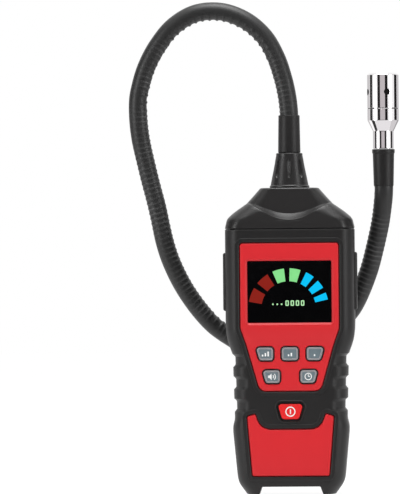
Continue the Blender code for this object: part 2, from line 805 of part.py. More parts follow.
def make_front_armour():
    """Black armour: ribbed grip, feet, and windows for the red panels."""
    armour = front_half("front_armour", 0.0, 0.0, CASE_TOP, PARTING_Y, True, BLACK_RUBBER)
    reach = PARTING_Y + 6.0 * MM
    for side, name in ((-1.0, "left"), (1.0, "right")):
        pad = side_pad(f"front_pad_{name}", side, -PAD_HALF_DEPTH, PARTING_Y)
        join(armour, pad)
    floor = NOTCH_TOP_Z + SOLE_THICK
    cut(armour, front_half("armour_cavity", ARMOUR_WALL, floor, CASE_TOP + 4.0 * MM, reach))
    cut_feet(armour, "front_feet_gap", FEET_GAP_LOW, FEET_GAP_HIGH, -FAR, reach)
    front = -HEAD_DEPTH - PAST
    back = -HANDLE_FRONT_DEPTH + 2.0 * ARMOUR_WALL
    upper = grown(mirrored(UPPER_PANEL_RIGHT), CLEAR)
    lower = grown(lower_panel(), CLEAR)
    power = grown(KEY_SHAPES["key_power"], KEY_GAP)
    join(armour, power_rim())
    cut(armour, prism("upper_window", upper, front, back))
    cut(armour, prism("lower_window", lower, front, back))
    cut(armour, prism("power_window", power, front, back, steps=KEY_STEPS))
    return smooth(armour)


def lower_panel():
    """Outline of the lower red panel, anticlockwise from its dip."""
    left = [(-x, z, radius) for x, z, radius in LOWER_PANEL_RIGHT]
    return left + list(reversed(LOWER_PANEL_RIGHT))


def power_rim():
    """Low raised rim of the armour round the power key."""
    face = -HANDLE_FRONT_DEPTH
    shape = KEY_SHAPES["key_power"]
    layers = [
        (face - POWER_RIM_PROUD, grown(shape, POWER_RIM_WIDTH - 2.0 * POWER_RIM_PROUD)),
        (face, grown(shape, POWER_RIM_WIDTH)),
        (face + ARMOUR_WALL / 2.0, grown(shape, POWER_RIM_WIDTH)),
    ]
    return plates("power_rim", [(y, rounded(corners, KEY_STEPS)) for y, corners in layers])


def make_front_case():
    """Red inner case, whose two raised panels fill the armour's windows.

    Its edge laps inside the rear case's wall, past the parting line.
    """
    inset = ARMOUR_WALL + CLEAR
    top = CAP_SEAM - CAP_LIP - CLEAR
    floor = NOTCH_TOP_Z + SOLE_THICK + CLEAR
    edge = PARTING_Y + CASE_LAP
    case = front_half("front_case", inset, floor, top, edge, False, RED_PLASTIC)
    embed = -HANDLE_FRONT_DEPTH + inset + CASE_WALL / 2.0
    for name, corners in (("upper", mirrored(UPPER_PANEL_RIGHT)), ("lower", lower_panel())):
        panel = prism(f"{name}_panel", corners, -HEAD_DEPTH - PAST, embed)
        skin = front_half(f"{name}_panel_skin", -PANEL_PROUD, PAST, CASE_TOP, PARTING_Y)
        boolean(panel, skin, "INTERSECT")
        join(case, panel)
    wall = inset + CASE_WALL
    reach = PARTING_Y + 6.0 * MM
    cut(case, front_half("case_cavity", wall, floor + CASE_WALL, CASE_TOP, reach))
    middle = inset + CASE_WALL / 2.0
    add_front_bosses(case, front_half("front_boss_limit", middle, floor + CASE_WALL, top, PARTING_Y))
    relieve_lap(case, edge + PAST)
    cut_window(case)
    back = front_wall_y(ROW_1_Z) + CASE_WALL
    for name, corners in KEY_SHAPES.items():
        shape = grown(corners, KEY_GAP)
        cut(case, prism(f"{name}_hole", shape, -FAR, back, steps=KEY_STEPS))
    return smooth(case)


def relieve_lap(case, back):
    """Room in the lapped edge for the battery bay's floor and the rear bosses."""
    half = bay_half_width() + BAY_WALL + CLEAR
    bay_room = block("bay_room", (-half, PARTING_Y, 0.0), (half, back, LOWER_PANEL_BOTTOM))
    cut(case, bay_room)
    for index, (x, z) in enumerate(SCREW_PLACES):
        for side in (-1.0, 1.0):
            name = f"boss_room_{index}_{side:.0f}"
            cut(case, disc(name, side * x, z, BOSS_RADIUS + CLEAR, PARTING_Y, back))


def front_wall_y(height):
    """Inner face of the red case's front wall."""
    return -(interpolate(FRONT_DEPTHS, height) - ARMOUR_WALL - CLEAR - CASE_WALL)


def add_front_bosses(case, limit):
    """Screw bosses and board posts, trimmed to the middle of the case's wall."""
    for index, (x, z) in enumerate(SCREW_PLACES):
        start = front_wall_y(z) - CASE_WALL
        for side in (-1.0, 1.0):
            name = f"front_boss_{index}_{side:.0f}"
            boss = disc(name, side * x, z, BOSS_RADIUS, start, PARTING_Y - CLEAR)
            join(case, boolean(boss, limit, "INTERSECT"))
            depth = PARTING_Y - SCREW_ENGAGEMENT - CLEAR
            pilot = disc(f"{name}_pilot", side * x, z, SCREW_RADIUS + CLEAR, depth, FAR)
            cut(case, pilot)
    for index, (x, z) in enumerate(POSTS):
        start = front_wall_y(z) - CASE_WALL
        for side in (-1.0, 1.0):
            name = f"board_post_{index}_{side:.0f}"
            post = disc(name, side * x, z, POST_RADIUS, start, BOARD_FRONT_Y - CLEAR, sides=12)
            join(case, boolean(post, limit, "INTERSECT"))


def window_face_y():
    return -HEAD_DEPTH - PANEL_PROUD + WINDOW_RECESS


def cut_window(case):
    """A bevelled recess for the window, with a smaller opening for the display."""
    face = -HEAD_DEPTH - PANEL_PROUD
    front = face - PAST
    inner = rectangle(WINDOW_WIDTH, WINDOW_HEIGHT, 0.0, WINDOW_Z, WINDOW_CORNER)
    layers = [
        (front, rounded(grown(inner, WINDOW_BEVEL + face - front), KEY_STEPS)),
        (face + WINDOW_BEVEL, rounded(inner, KEY_STEPS)),
        (window_face_y() + WINDOW_THICK + CLEAR, rounded(inner, KEY_STEPS)),
    ]
    cut(case, plates("window_recess", layers))
    width = WINDOW_WIDTH - 2.0 * WINDOW_LEDGE
    height = WINDOW_HEIGHT - 2.0 * WINDOW_LEDGE
    opening = rectangle(width, height, 0.0, WINDOW_Z, WINDOW_CORNER)
    back = front_wall_y(WINDOW_Z) + PAST
    cut(case, prism("display_opening", opening, front, back, steps=SMALL_STEPS))


def make_rear_case():
    """Black rear case with the battery bay, the door's rails and the screw bosses."""
    flat = PARTING_Y + CLEAR
    case = back_half("rear_case", 0.0, 0.0, CASE_TOP, flat, True, BLACK_PLASTIC)
    for side, name in ((-1.0, "left"), (1.0, "right")):
        pad = side_pad(f"rear_pad_{name}", side, flat, PAD_HALF_DEPTH)
        join(case, pad)
    floor = NOTCH_TOP_Z + SOLE_THICK
    cavity = back_half("rear_cavity", REAR_WALL, floor, CASE_TOP + 4.0 * MM, flat - 6.0 * MM)
    cut(case, cavity)
    back_wall = HANDLE_BACK_DEPTH - REAR_WALL
    rail_half = DOOR_HALF_WIDTH + DOOR_TONGUE + 2.0 * CLEAR + BAY_WALL
    top = bay_high() + BAY_WALL
    low = NOTCH_TOP_Z + SOLE_THICK / 2.0
    embed = back_wall + REAR_WALL / 3.0
    block_low = (-bay_half_width() - BAY_WALL, BAY_FLOOR_Y, low)
    block_high = (bay_half_width() + BAY_WALL, embed, top)
    join(case, block("bay_walls", block_low, block_high))
    rails = block("bay_rails", (-rail_half, embed - RAIL_DEPTH, low), (rail_half, embed, top))
    join(case, rails)
    limit = back_half("rear_boss_limit", REAR_WALL - CLEAR, floor, CASE_TOP, flat)
    add_rear_bosses(case, limit)
    cut_bay(case, back_wall)
    gap = 2.0 * (DOOR_HALF_WIDTH + DOOR_TONGUE + CLEAR)
    cut_feet(case, "rear_feet_gap", gap, gap - CLEAR, 0.0, FAR)
    return smooth(case)


def bay_half_width():
    return (CELL_COUNT - 1) * CELL_PITCH / 2.0 + CELL_RADIUS + CLEAR


def bay_height():
    near = CLEAR + CONTACT_THICK + CLEAR
    return CELL_LENGTH + 2.0 * near + SPRING_HEIGHT + CLEAR


def bay_high():
    return BAY_LOW + bay_height()


def door_faces():
    """Inner and outer y of the door's plate."""
    outer = HANDLE_BACK_DEPTH - DOOR_SUNK
    return outer - DOOR_THICK, outer


def cut_bay(case, back_wall):
    """The bay itself, the door's opening and the grooves for its tongues."""
    inner_y, outer_y = door_faces()
    half = bay_half_width()
    bay = block(
        "bay_space",
        (-half, BAY_FLOOR_Y + BAY_WALL, BAY_LOW),
        (half, inner_y + PAST, bay_high()),
    )
    opening = block(
        "door_opening",
        (-DOOR_HALF_WIDTH - CLEAR, inner_y - CLEAR, -PAST),
        (DOOR_HALF_WIDTH + CLEAR, FAR, bay_high() + DOOR_LIP + CLEAR),
    )
    reach = DOOR_HALF_WIDTH + DOOR_TONGUE + CLEAR
    grooves = block(
        "door_grooves",
        (-reach, inner_y - CLEAR, -PAST),
        (reach, inner_y + DOOR_TONGUE_THICK + CLEAR, bay_high() + DOOR_LIP + CLEAR),
    )
    return cut(case, bay, opening, grooves)


def add_rear_bosses(case, limit):
    for index, (x, z) in enumerate(SCREW_PLACES):
        outside = interpolate(BACK_DEPTHS, z)
        for side in (-1.0, 1.0):
            name = f"rear_boss_{index}_{side:.0f}"
            boss = disc(name, side * x, z, BOSS_RADIUS, PARTING_Y + CLEAR, outside)
            join(case, boolean(boss, limit, "INTERSECT"))
            cut(case, disc(f"{name}_bore", side * x, z, SCREW_RADIUS + CLEAR, 0.0, FAR))
            seat = outside - SCREW_COUNTERBORE
            bore = SCREW_HEAD_RADIUS + CLEAR
            cut(case, disc(f"{name}_counterbore", side * x, z, bore, seat, FAR))


def make_battery_door():
    """Plate with side tongues and a ribbed thumb grip; it slides down."""
    inner_y, outer_y = door_faces()
    low = NOTCH_TOP_Z + 0.8 * MM
    high = bay_high() + DOOR_LIP
    door = block(
        "battery_door",
        (-DOOR_HALF_WIDTH, inner_y, low),
        (DOOR_HALF_WIDTH, outer_y, high),
        BLACK_PLASTIC,
    )
    tongue = DOOR_HALF_WIDTH + DOOR_TONGUE
    tongues = block(
        "door_tongues",
        (-tongue, inner_y, low + 2.0 * MM),
        (tongue, inner_y + DOOR_TONGUE_THICK, high - 2.0 * MM),
    )
    join(door, tongues)
    for index in range(DOOR_GRIP_COUNT):
        z = high - DOOR_GRIP_BELOW_TOP - index * DOOR_GRIP_PITCH
        groove = block(
            f"door_grip_{index}",
            (-DOOR_GRIP_HALF_WIDTH, outer_y - DOOR_GRIP_DEPTH, z - DOOR_GRIP_HALF_HEIGHT),
            (DOOR_GRIP_HALF_WIDTH, outer_y + PAST, z + DOOR_GRIP_HALF_HEIGHT),
        )
        cut(door, groove)
    return door


def oval_section(half_x, half_y, corner_share, drop, height):
    """A ring of the cap; drop lowers the middle of its front and back."""
    corner_x = half_x * corner_share
    corner_y = half_y * max(corner_share, 0.6)
    quarter = [(half_x, 0.0)]
    for step in range(CORNER_STEPS + 1):
        angle = math.radians(90.0) * step / CORNER_STEPS
        x = half_x - corner_x + corner_x * math.cos(angle)
        y = half_y - corner_y + corner_y * math.sin(angle)
        quarter.append((x, y))
    flat = half_x - corner_x
    quarter += [(flat * step / CAP_FLAT_STEPS, half_y) for step in range(CAP_FLAT_STEPS - 1, 0, -1)]
    front = quarter + [(0.0, half_y)] + [(-x, y) for x, y in reversed(quarter)]
    outline = front + [(x, -y) for x, y in reversed(front[1:-1])]
    points = []
    for x, y in outline:
        share = max(0.0, 1.0 - (x / half_x) ** 2) ** CAP_DROP_POWER
        points.append((x, y, height - drop * share))
    return points


def make_top_cap():
    """Two-tier cap: a sloping shoulder, a stepped ledge and an oval crown."""
    lip = REAR_WALL + 2.0 * CLEAR
    share = CORNER_X / HEAD_HALF_WIDTH
    rings = [
        cap_ring(CAP_SEAM - CAP_LIP, lip, lip, 0.0, share),
        cap_ring(CAP_SEAM, lip, lip, 0.0, share),
        cap_ring(CAP_SEAM, 0.0, 0.0, 0.0, share),
    ]
    rings += cap_rings(CAP_RINGS)
    cap = ring_loft("top_cap", rings, BLACK_RUBBER)
    wall = lip + CASE_WALL
    inside = [
        cap_ring(CAP_SEAM - CAP_LIP - PAST, wall, wall, 0.0, share),
        cap_ring(CAP_SEAM + CLEAR, wall, wall, 0.0, share),
    ]
    cut(cap, ring_loft("cap_inside", inside + cap_rings(CAP_INSIDE)))
    bore = FERRULE_RADIUS + CLEAR
    cut(cap, hole_cutter("cap_bore", 0.0, 0.0, bore, CAP_SEAM, CAP_TOP + PAST))
    return smooth(cap, 28.0)


def cap_ring(height, in_x, in_y, drop, corner_share):
    return oval_section(
        HEAD_HALF_WIDTH - in_x, HEAD_DEPTH - in_y, corner_share, drop, height,
    )


def cap_rings(table):
    rings = []
    for share, in_x, in_y, drop_share, corner_share in table:
        height = CAP_SEAM + CAP_HEIGHT * share
        rings.append(cap_ring(height, in_x, in_y, CAP_HEIGHT * drop_share, corner_share))
    return rings


def hole_cutter(name, x, y, radius, low, high, sides=24):
    """An upright round cutter."""
    rings = []
    for height in (low, high):
        rings.append([(x + u, y + v, height) for u, v in circle(sides, radius)])
    return ring_loft(name, rings)


# Display, keys and board

def make_display():
    front = window_face_y()
    back = front + WINDOW_THICK
    shape = grown(rectangle(WINDOW_WIDTH, WINDOW_HEIGHT, 0.0, WINDOW_Z, WINDOW_CORNER), -CLEAR)
    prism("display_window", shape, front, back, WINDOW, KEY_STEPS)
    module = rectangle(MODULE_WIDTH, MODULE_HEIGHT, 0.0, WINDOW_Z, 0.6 * MM)
    view_width = WINDOW_WIDTH - 2.0 * WINDOW_LEDGE
    view_height = WINDOW_HEIGHT - 2.0 * WINDOW_LEDGE
    view = grown(rectangle(view_width, view_height, 0.0, WINDOW_Z, 0.6 * MM), CLEAR)
    start = front_wall_y(WINDOW_Z) + CLEAR
    end = start + GASKET_THICK
    rim = grown(module, -GASKET_INSET)
    gasket = prism("window_gasket", rim, start, end, FOAM, SMALL_STEPS)
    cut(gasket, prism("gasket_view", view, start - PAST, end + PAST, steps=SMALL_STEPS))
    start = end + CLEAR
    end = start + MODULE_THICK
    prism("display_module", module, start, end, STEEL, SMALL_STEPS)
    start = end + CLEAR
    end = BOARD_FRONT_Y - CLEAR
    bracket = prism("display_bracket", module, start, end, BLACK_PLASTIC, SMALL_STEPS)
    space = grown(module, -BRACKET_RIM)
    cut(bracket, prism("bracket_space", space, start - PAST, end + PAST, steps=SMALL_STEPS))


def key_seat_y(height):
    """Front face of a key's flange, behind the red case's wall."""
    return front_wall_y(height) + CLEAR


def make_key(name, corners, look):
    """Cap, retaining flange and stem in one moulding."""
    x, z = centre_of(corners)
    seat = key_seat_y(z)
    face = -interpolate(FRONT_DEPTHS, z) - KEY_PROUD
    outline = rounded(corners, KEY_STEPS)
    flange = rounded(grown(corners, KEY_FLANGE), KEY_STEPS)
    turn = [math.atan2(point_z - z, point_x - x) for point_x, point_z in outline]
    stem = [(x + KEY_STEM_RADIUS * math.cos(a), z + KEY_STEM_RADIUS * math.sin(a)) for a in turn]
    tip = switch_face_y() + STEM_IN_WELL
    layers = [
        (face, rounded(grown(corners, -KEY_EDGE), KEY_STEPS)),
        (face + KEY_EDGE, outline),
        (seat, outline),
        (seat, flange),
        (seat + KEY_FLANGE, flange),
        (seat + KEY_FLANGE, stem),
        (tip, stem),
    ]
    return smooth(plates(name, layers, look))


def switch_face_y():
    return BOARD_FRONT_Y - CLEAR - SWITCH_HEIGHT


def make_switch(name, corners):
    """Push switch, with a well that takes the key's stem."""
    x, z = centre_of(corners)
    face = switch_face_y()
    half = SWITCH_SIZE / 2.0
    low = (x - half, face, z - half)
    high = (x + half, face + SWITCH_HEIGHT, z + half)
    body = block(name, low, high, BLACK_PLASTIC)
    bore = KEY_STEM_RADIUS + CLEAR
    deep = face + SWITCH_WELL_DEPTH
    return cut(body, disc(f"{name}_well", x, z, bore, face - PAST, deep, sides=12))


def make_keys():
    for name, corners in KEY_SHAPES.items():
        look = RED_RUBBER if name == "key_power" else GREY_RUBBER
        make_key(name, corners, look)
        make_switch(name.replace("key", "switch"), corners)


def make_board():
    """Circuit board, cut in at its top corners for the case screws."""
    boss_clear = SCREW_PLACES[0][0] - BOSS_RADIUS - 0.6 * MM
    boss_low = SCREW_PLACES[0][1] - BOSS_RADIUS - 0.8 * MM
    right = (
        (boss_clear, BOARD_TOP, 1.0 * MM),
        (boss_clear, boss_low, 0.8 * MM),
        (BOARD_HEAD_HALF_WIDTH, boss_low, 1.0 * MM),
        (BOARD_HEAD_HALF_WIDTH, SHOULDER_HIGH + 2.0 * MM, 1.0 * MM),
        (BOARD_HANDLE_HALF_WIDTH, SHOULDER_LOW + 6.0 * MM, 1.0 * MM),
        (BOARD_HANDLE_HALF_WIDTH, BOARD_BOTTOM, 1.5 * MM),
    )
    back = BOARD_FRONT_Y + BOARD_THICK
    prism("main_board", mirrored(right), BOARD_FRONT_Y, back, BOARD_GREEN, SMALL_STEPS)
    start = back + CLEAR
    end = start + BUZZER_HEIGHT
    buzzer = disc("buzzer", 0.0, BUZZER_Z, BUZZER_RADIUS, start, end, BLACK_PLASTIC)
    deep = end - BUZZER_PORT_DEPTH
    cut(buzzer, disc("buzzer_port", 0.0, BUZZER_Z, BUZZER_PORT_RADIUS, deep, end + PAST, sides=12))


# Battery bay contents

def make_cells():
    bay_centre = BAY_LOW + bay_height() / 2.0
    flat_end = 3.0 * CLEAR + CONTACT_THICK + SPRING_HEIGHT
    nub_end = 2.0 * CLEAR + CONTACT_THICK
    centre_y = BAY_FLOOR_Y + BAY_WALL + CLEAR + CELL_RADIUS
    half = CELL_LENGTH / 2.0
    nub = 1.0 * MM
    profile = (
        (0.0, half),
        (1.9 * MM, half),
        (1.9 * MM, half - nub),
        (CELL_RADIUS - 0.6 * MM, half - nub),
        (CELL_RADIUS, half - nub - 0.6 * MM),
        (CELL_RADIUS, 0.4 * MM - half),
        (CELL_RADIUS - 0.4 * MM, -half),
        (0.0, -half),
    )
    for index in range(CELL_COUNT):
        x = (index - (CELL_COUNT - 1) / 2.0) * CELL_PITCH
        way = 1.0 if index % 2 == 0 else -1.0
        z = bay_centre + way * (flat_end - nub_end) / 2.0
        cell = turned(f"cell_{index + 1}", profile, CELL_WRAP, 16, (x, centre_y, z))
        cell.rotation_euler = (0.0 if way > 0.0 else math.pi, 0.0, 0.0)
        start = bay_centre - way * (bay_height() / 2.0 - 2.0 * CLEAR - CONTACT_THICK)
        make_spring(f"cell_spring_{index + 1}", x, centre_y, start, way)
    width = 2.0 * (bay_half_width() - CLEAR)
    for name, z in (("low", BAY_LOW + CLEAR), ("high", bay_high() - CLEAR - CONTACT_THICK)):
        block(
            f"cell_contact_{name}",
            (-width / 2.0, centre_y - CONTACT_HALF_DEPTH, z),
            (width / 2.0, centre_y + CONTACT_HALF_DEPTH, z + CONTACT_THICK),
            STEEL,
        )


def make_spring(name, x, y, start, way):
    """Conical coil that presses a cell's flat end."""
    steps = 8
    rise = SPRING_HEIGHT - 2.0 * SPRING_WIRE_RADIUS
    points = []
    count = round(SPRING_TURNS * steps)
    for index in range(count + 1):
        share = index / count
        radius = SPRING_LOW_RADIUS + (SPRING_HIGH_RADIUS - SPRING_LOW_RADIUS) * share
        angle = 2.0 * math.pi * index / steps
        z = start + way * (SPRING_WIRE_RADIUS + rise * share)
        points.append((x + radius * math.cos(angle), y + radius * math.sin(angle), z))
    return tube(name, points, SPRING_WIRE_RADIUS, STEEL, 0)


def make_screws():
    """Pan-head screws, driven from the back into the red case."""
    for index, (x, z) in enumerate(SCREW_PLACES):
        seat = interpolate(BACK_DEPTHS, z) - SCREW_COUNTERBORE + CLEAR
        tip = PARTING_Y - SCREW_ENGAGEMENT
        for side, place in ((-1.0, "left"), (1.0, "right")):
            height = "upper" if index == 0 else "lower"
            outline = circle(8, SCREW_RADIUS, side * x, z)
            head = circle(8, SCREW_HEAD_RADIUS, side * x, z)
            crown = circle(8, SCREW_HEAD_RADIUS * 0.7, side * x, z)
            layers = [
                (tip, outline),
                (seat, outline),
                (seat, head),
                (seat + SCREW_HEAD_HEIGHT * 0.6, head),
                (seat + SCREW_HEAD_HEIGHT, crown),
            ]
            plates(f"case_screw_{height}_{place}", layers, STEEL)


# Gooseneck and its fittings

def make_collar():
    """Conical collar with shallow finger flutes."""
    bore = FERRULE_RADIUS + CLEAR
    base = CAP_TOP + CLEAR
    profile = (
        (COLLAR_TOP_RADIUS - 0.7 * MM, COLLAR_HEIGHT),
        (COLLAR_TOP_RADIUS, COLLAR_HEIGHT - 0.8 * MM),
        (COLLAR_BASE_RADIUS, 0.6 * MM),
        (COLLAR_BASE_RADIUS - 0.4 * MM, 0.0),
        (bore, 0.0),
        (bore, COLLAR_HEIGHT),
    )
    collar = turned("neck_collar", profile, BLACK_RUBBER, 30, (0.0, 0.0, base), closed=True)
    lean = math.atan2(COLLAR_BASE_RADIUS - COLLAR_TOP_RADIUS, COLLAR_HEIGHT)
    height = COLLAR_HEIGHT * FLUTE_SHARE
    radius = COLLAR_BASE_RADIUS - (COLLAR_BASE_RADIUS - COLLAR_TOP_RADIUS) * FLUTE_SHARE
    for index in range(FLUTE_COUNT):
        angle = 2.0 * math.pi * index / FLUTE_COUNT - math.pi / 2.0
        bm = bmesh.new()
        bmesh.ops.create_uvsphere(bm, u_segments=8, v_segments=6, radius=1.0)
        for vert in bm.verts:
            vert.co.x *= FLUTE_DEPTH
            vert.co.y *= FLUTE_HALF_WIDTH
            vert.co.z *= FLUTE_HALF_LENGTH
        flute = mesh_object(f"flute_{index}", bm)
        flute.location = (radius * math.cos(angle), radius * math.sin(angle), base + height)
        flute.rotation_euler = (0.0, -lean, angle)
        flute.parent = ROOT
        cut(collar, flute)
    return collar


def make_ferrule():
    """Anchor tube through the cap, and the nut that holds it from inside."""
    top = NECK_START_Z - CLEAR
    profile = (
        (FERRULE_RADIUS, top),
        (FERRULE_RADIUS, FERRULE_LOW),
        (FERRULE_BORE, FERRULE_LOW),
        (FERRULE_BORE, top),
    )
    turned("neck_ferrule", profile, STEEL, 20, closed=True)
    nut_top = CAP_TOP - CAP_WALL - CLEAR
    bore = FERRULE_RADIUS + CLEAR
    outer = NUT_HALF_FLATS / math.cos(math.pi / 6.0)
    rings = []
    for height in (nut_top - NUT_THICK, nut_top):
        rings.append([(x, y, height) for x, y in circle(6, outer)])
    nut = ring_loft("neck_nut", rings, STEEL)
    low = nut_top - NUT_THICK - PAST
    cut(nut, hole_cutter("nut_bore", 0.0, 0.0, bore, low, nut_top + PAST))


def sleeve(name, outline, bore, x, base, height, look):
    """A turned sleeve; outline lists (radius, share of the height), top first."""
    profile = [(radius, height * share) for radius, share in outline]
    profile += [(bore, 0.0), (bore, height)]
    return turned(name, profile, look, 20, (x, 0.0, base), closed=True)


def make_boots():
    bore = NECK_RADIUS + CLEAR
    low, high = ROOT_BOOT_LOW_RADIUS, ROOT_BOOT_HIGH_RADIUS
    root = ((high - 0.3 * MM, 1.0), (high, 0.985), (low, 0.02), (low - 0.3 * MM, 0.0))
    base = CAP_TOP + 2.0 * CLEAR + COLLAR_HEIGHT
    sleeve("neck_boot", root, bore, 0.0, base, BOOT_LENGTH, BLACK_RUBBER)
    lip, plain = HEAD_BOOT_LIP_RADIUS, HEAD_BOOT_RADIUS
    head = (
        (lip - 0.3 * MM, 1.0),
        (lip, 0.98),
        (lip, 0.82),
        (plain, 0.79),
        (plain, 0.02),
        (plain - 0.3 * MM, 0.0),
    )
    sleeve("head_boot", head, bore, HEAD_X, HEAD_BOOT_LOW, BOOT_LENGTH, BLACK_RUBBER)


def make_gooseneck():
    """Semi-rigid neck, sheathed in black elastomer."""
    route = [Vector((0.0, 0.0, NECK_START_Z))]
    seat = Vector((0.0, 0.0, CAP_TOP))
    route += [seat + Vector(point) * MM for point in NECK_ROUTE]
    route.append(Vector((HEAD_X, 0.0, HEAD_BOOT_LOW + BOOT_LENGTH * 0.3)))
    route.append(Vector((HEAD_X, 0.0, NECK_END_Z)))
    return tube("gooseneck", through(route, NECK_POINT_SPACING), NECK_RADIUS, BLACK_RUBBER, 3)


def make_head():
    """Chromed sensor head: base, vented cap and the sensor inside."""
    base = HEAD_BOOT_LOW + BOOT_LENGTH + CLEAR
    cone = HEAD_STEM_HEIGHT + HEAD_CONE_HEIGHT
    ring = cone + HEAD_RING_HEIGHT
    spigot = HEAD_RADIUS - HEAD_CAP_WALL - CLEAR
    profile = (
        (spigot, ring + HEAD_SPIGOT_HEIGHT),
        (spigot, ring),
        (HEAD_RADIUS - 0.25 * MM, ring),
        (HEAD_RADIUS, ring - 0.25 * MM),
        (HEAD_RADIUS, cone + 0.4 * MM),
        (HEAD_STEM_RADIUS, HEAD_STEM_HEIGHT),
        (HEAD_STEM_RADIUS, 0.0),
        (HEAD_BORE, 0.0),
        (HEAD_BORE, ring + HEAD_SPIGOT_HEIGHT),
    )
    turned("sensor_base", profile, CHROME, 28, (HEAD_X, 0.0, base), closed=True)
    inner = HEAD_RADIUS - HEAD_CAP_WALL
    cap_profile = (
        (0.0, HEAD_CAP_HEIGHT),
        (HEAD_RADIUS - HEAD_CAP_CHAMFER, HEAD_CAP_HEIGHT),
        (HEAD_RADIUS, HEAD_CAP_HEIGHT - HEAD_CAP_CHAMFER),
        (HEAD_RADIUS, 0.25 * MM),
        (HEAD_RADIUS - 0.25 * MM, 0.0),
        (inner, 0.0),
        (inner, HEAD_CAP_HEIGHT - HEAD_CAP_WALL),
        (0.0, HEAD_CAP_HEIGHT - HEAD_CAP_WALL),
    )
    cap_base = base + ring + CLEAR
    cap = turned("sensor_cap", cap_profile, CHROME, 28, (HEAD_X, 0.0, cap_base))
    for index in range(VENT_COUNT):
        angle = math.radians(VENT_FIRST_ANGLE + 360.0 * index / VENT_COUNT)
        cut(cap, vent_cutter(f"vent_{index}", angle, cap_base + VENT_HEIGHT))
    seat = base + ring + HEAD_SPIGOT_HEIGHT + CLEAR
    sensor = (
        (0.0, SENSOR_HEIGHT),
        (SENSOR_RADIUS - 0.6 * MM, SENSOR_HEIGHT),
        (SENSOR_RADIUS, SENSOR_HEIGHT - 0.6 * MM),
        (SENSOR_RADIUS, 1.2 * MM),
        (SENSOR_RADIUS + 0.8 * MM, 1.2 * MM),
        (SENSOR_RADIUS + 0.8 * MM, 0.0),
        (0.0, 0.0),
    )
    turned("gas_sensor", sensor, STEEL, 20, (HEAD_X, 0.0, seat))


def vent_cutter(name, angle, height):
    """A round cutter that points out from the head's axis."""
    near = HEAD_RADIUS - HEAD_CAP_WALL - PAST
    far = HEAD_RADIUS + PAST
    rings = []
    across = Vector((-math.sin(angle), math.cos(angle), 0.0))
    out = Vector((math.cos(angle), math.sin(angle), 0.0))
    centre = Vector((HEAD_X, 0.0, height))
    for reach in (near, far):
        ring = []
        for u, v in circle(12, VENT_RADIUS):
            ring.append(centre + out * reach + across * u + Vector((0.0, 0.0, v)))
        rings.append(ring)
    return ring_loft(name, rings)


def make_lead():
    """Sensor lead inside the top cap, from the ferrule to the board."""
    top = BOARD_TOP - PLUG_HEIGHT / 2.0
    back = BOARD_FRONT_Y + BOARD_THICK + CLEAR
    plug = block(
        "lead_connector",
        (-PLUG_HALF_WIDTH, back, top - PLUG_HEIGHT),
        (PLUG_HALF_WIDTH, back + PLUG_DEPTH, top),
        NYLON,
    )
    end = Vector((0.0, back + PLUG_DEPTH / 2.0, top + CLEAR))
    rise = Vector((0.0, 0.0, PLUG_HEIGHT))
    route = [
        Vector((0.0, 0.0, NECK_START_Z - PLUG_HEIGHT / 2.0)),
        Vector((0.0, 0.0, FERRULE_LOW)),
        Vector((0.0, 0.0, FERRULE_LOW)) - rise,
        end + rise,
        end,
    ]
    points = through(route, LEAD_POINT_SPACING)
    tube("sensor_lead", points, LEAD_RADIUS, BLACK_RUBBER, 2)
    return plug


def stand_on_origin():
    """Moves the whole instrument so that its box is centred over the origin."""
    bpy.context.view_layer.update()
    graph = bpy.context.evaluated_depsgraph_get()
    points = []
    for item in PARTS.objects:
        if item.type == "EMPTY":
            continue
        shape = item.evaluated_get(graph)
        points += [shape.matrix_world @ vert.co for vert in shape.to_mesh().vertices]
        shape.to_mesh_clear()
    low = [min(point[axis] for point in points) for axis in range(3)]
    high = [max(point[axis] for point in points) for axis in range(3)]
    ROOT.location = (-(low[0] + high[0]) / 2.0, -(low[1] + high[1]) / 2.0, -low[2])
    for cutter in CUTTERS.objects:
        cutter.parent = ROOT
    bpy.context.view_layer.update()


def main():
    make_front_armour()
    make_front_case()
    make_rear_case()
    make_top_cap()
    make_battery_door()
    make_display()
    make_keys()
    make_board()
    make_cells()
    make_screws()
    make_collar()
    make_ferrule()
    make_boots()
    make_gooseneck()
    make_head()
    make_lead()
    stand_on_origin()


main()
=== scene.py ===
"""Finished surfaces and studio for a handheld gas leak detector with a gooseneck probe.

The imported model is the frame: every piece here stands where a piece of the frame stands.
"""

import math

import bmesh
import bpy
from mathutils import Matrix, Vector


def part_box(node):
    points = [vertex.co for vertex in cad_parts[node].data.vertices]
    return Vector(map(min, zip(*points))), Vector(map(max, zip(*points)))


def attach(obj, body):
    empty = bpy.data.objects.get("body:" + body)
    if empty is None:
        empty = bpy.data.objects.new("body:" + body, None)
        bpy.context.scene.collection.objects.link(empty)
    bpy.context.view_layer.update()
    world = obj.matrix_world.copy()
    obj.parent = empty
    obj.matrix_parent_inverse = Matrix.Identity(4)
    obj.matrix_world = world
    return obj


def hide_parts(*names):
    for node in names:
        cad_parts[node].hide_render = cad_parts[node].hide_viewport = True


bl_info = {
    "name": "Gas Leak Detector",
    "version": (1, 0, 0),
    "blender": (4, 5, 0),
    "location": "View3D > Sidebar > Detector",
    "description": "Builds the finished surfaces of a handheld gas leak detector and its studio",
    "category": "Object",
}

MM = 0.001
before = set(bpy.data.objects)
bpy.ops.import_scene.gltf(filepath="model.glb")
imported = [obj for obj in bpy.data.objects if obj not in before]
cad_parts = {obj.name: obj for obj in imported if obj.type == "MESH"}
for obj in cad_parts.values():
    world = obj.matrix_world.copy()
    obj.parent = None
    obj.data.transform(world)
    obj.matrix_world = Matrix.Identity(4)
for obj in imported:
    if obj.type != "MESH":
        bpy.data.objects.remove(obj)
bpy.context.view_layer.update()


# Sizes read from the frame, in metres

def size_of(node):
    low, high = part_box(node)
    return high - low


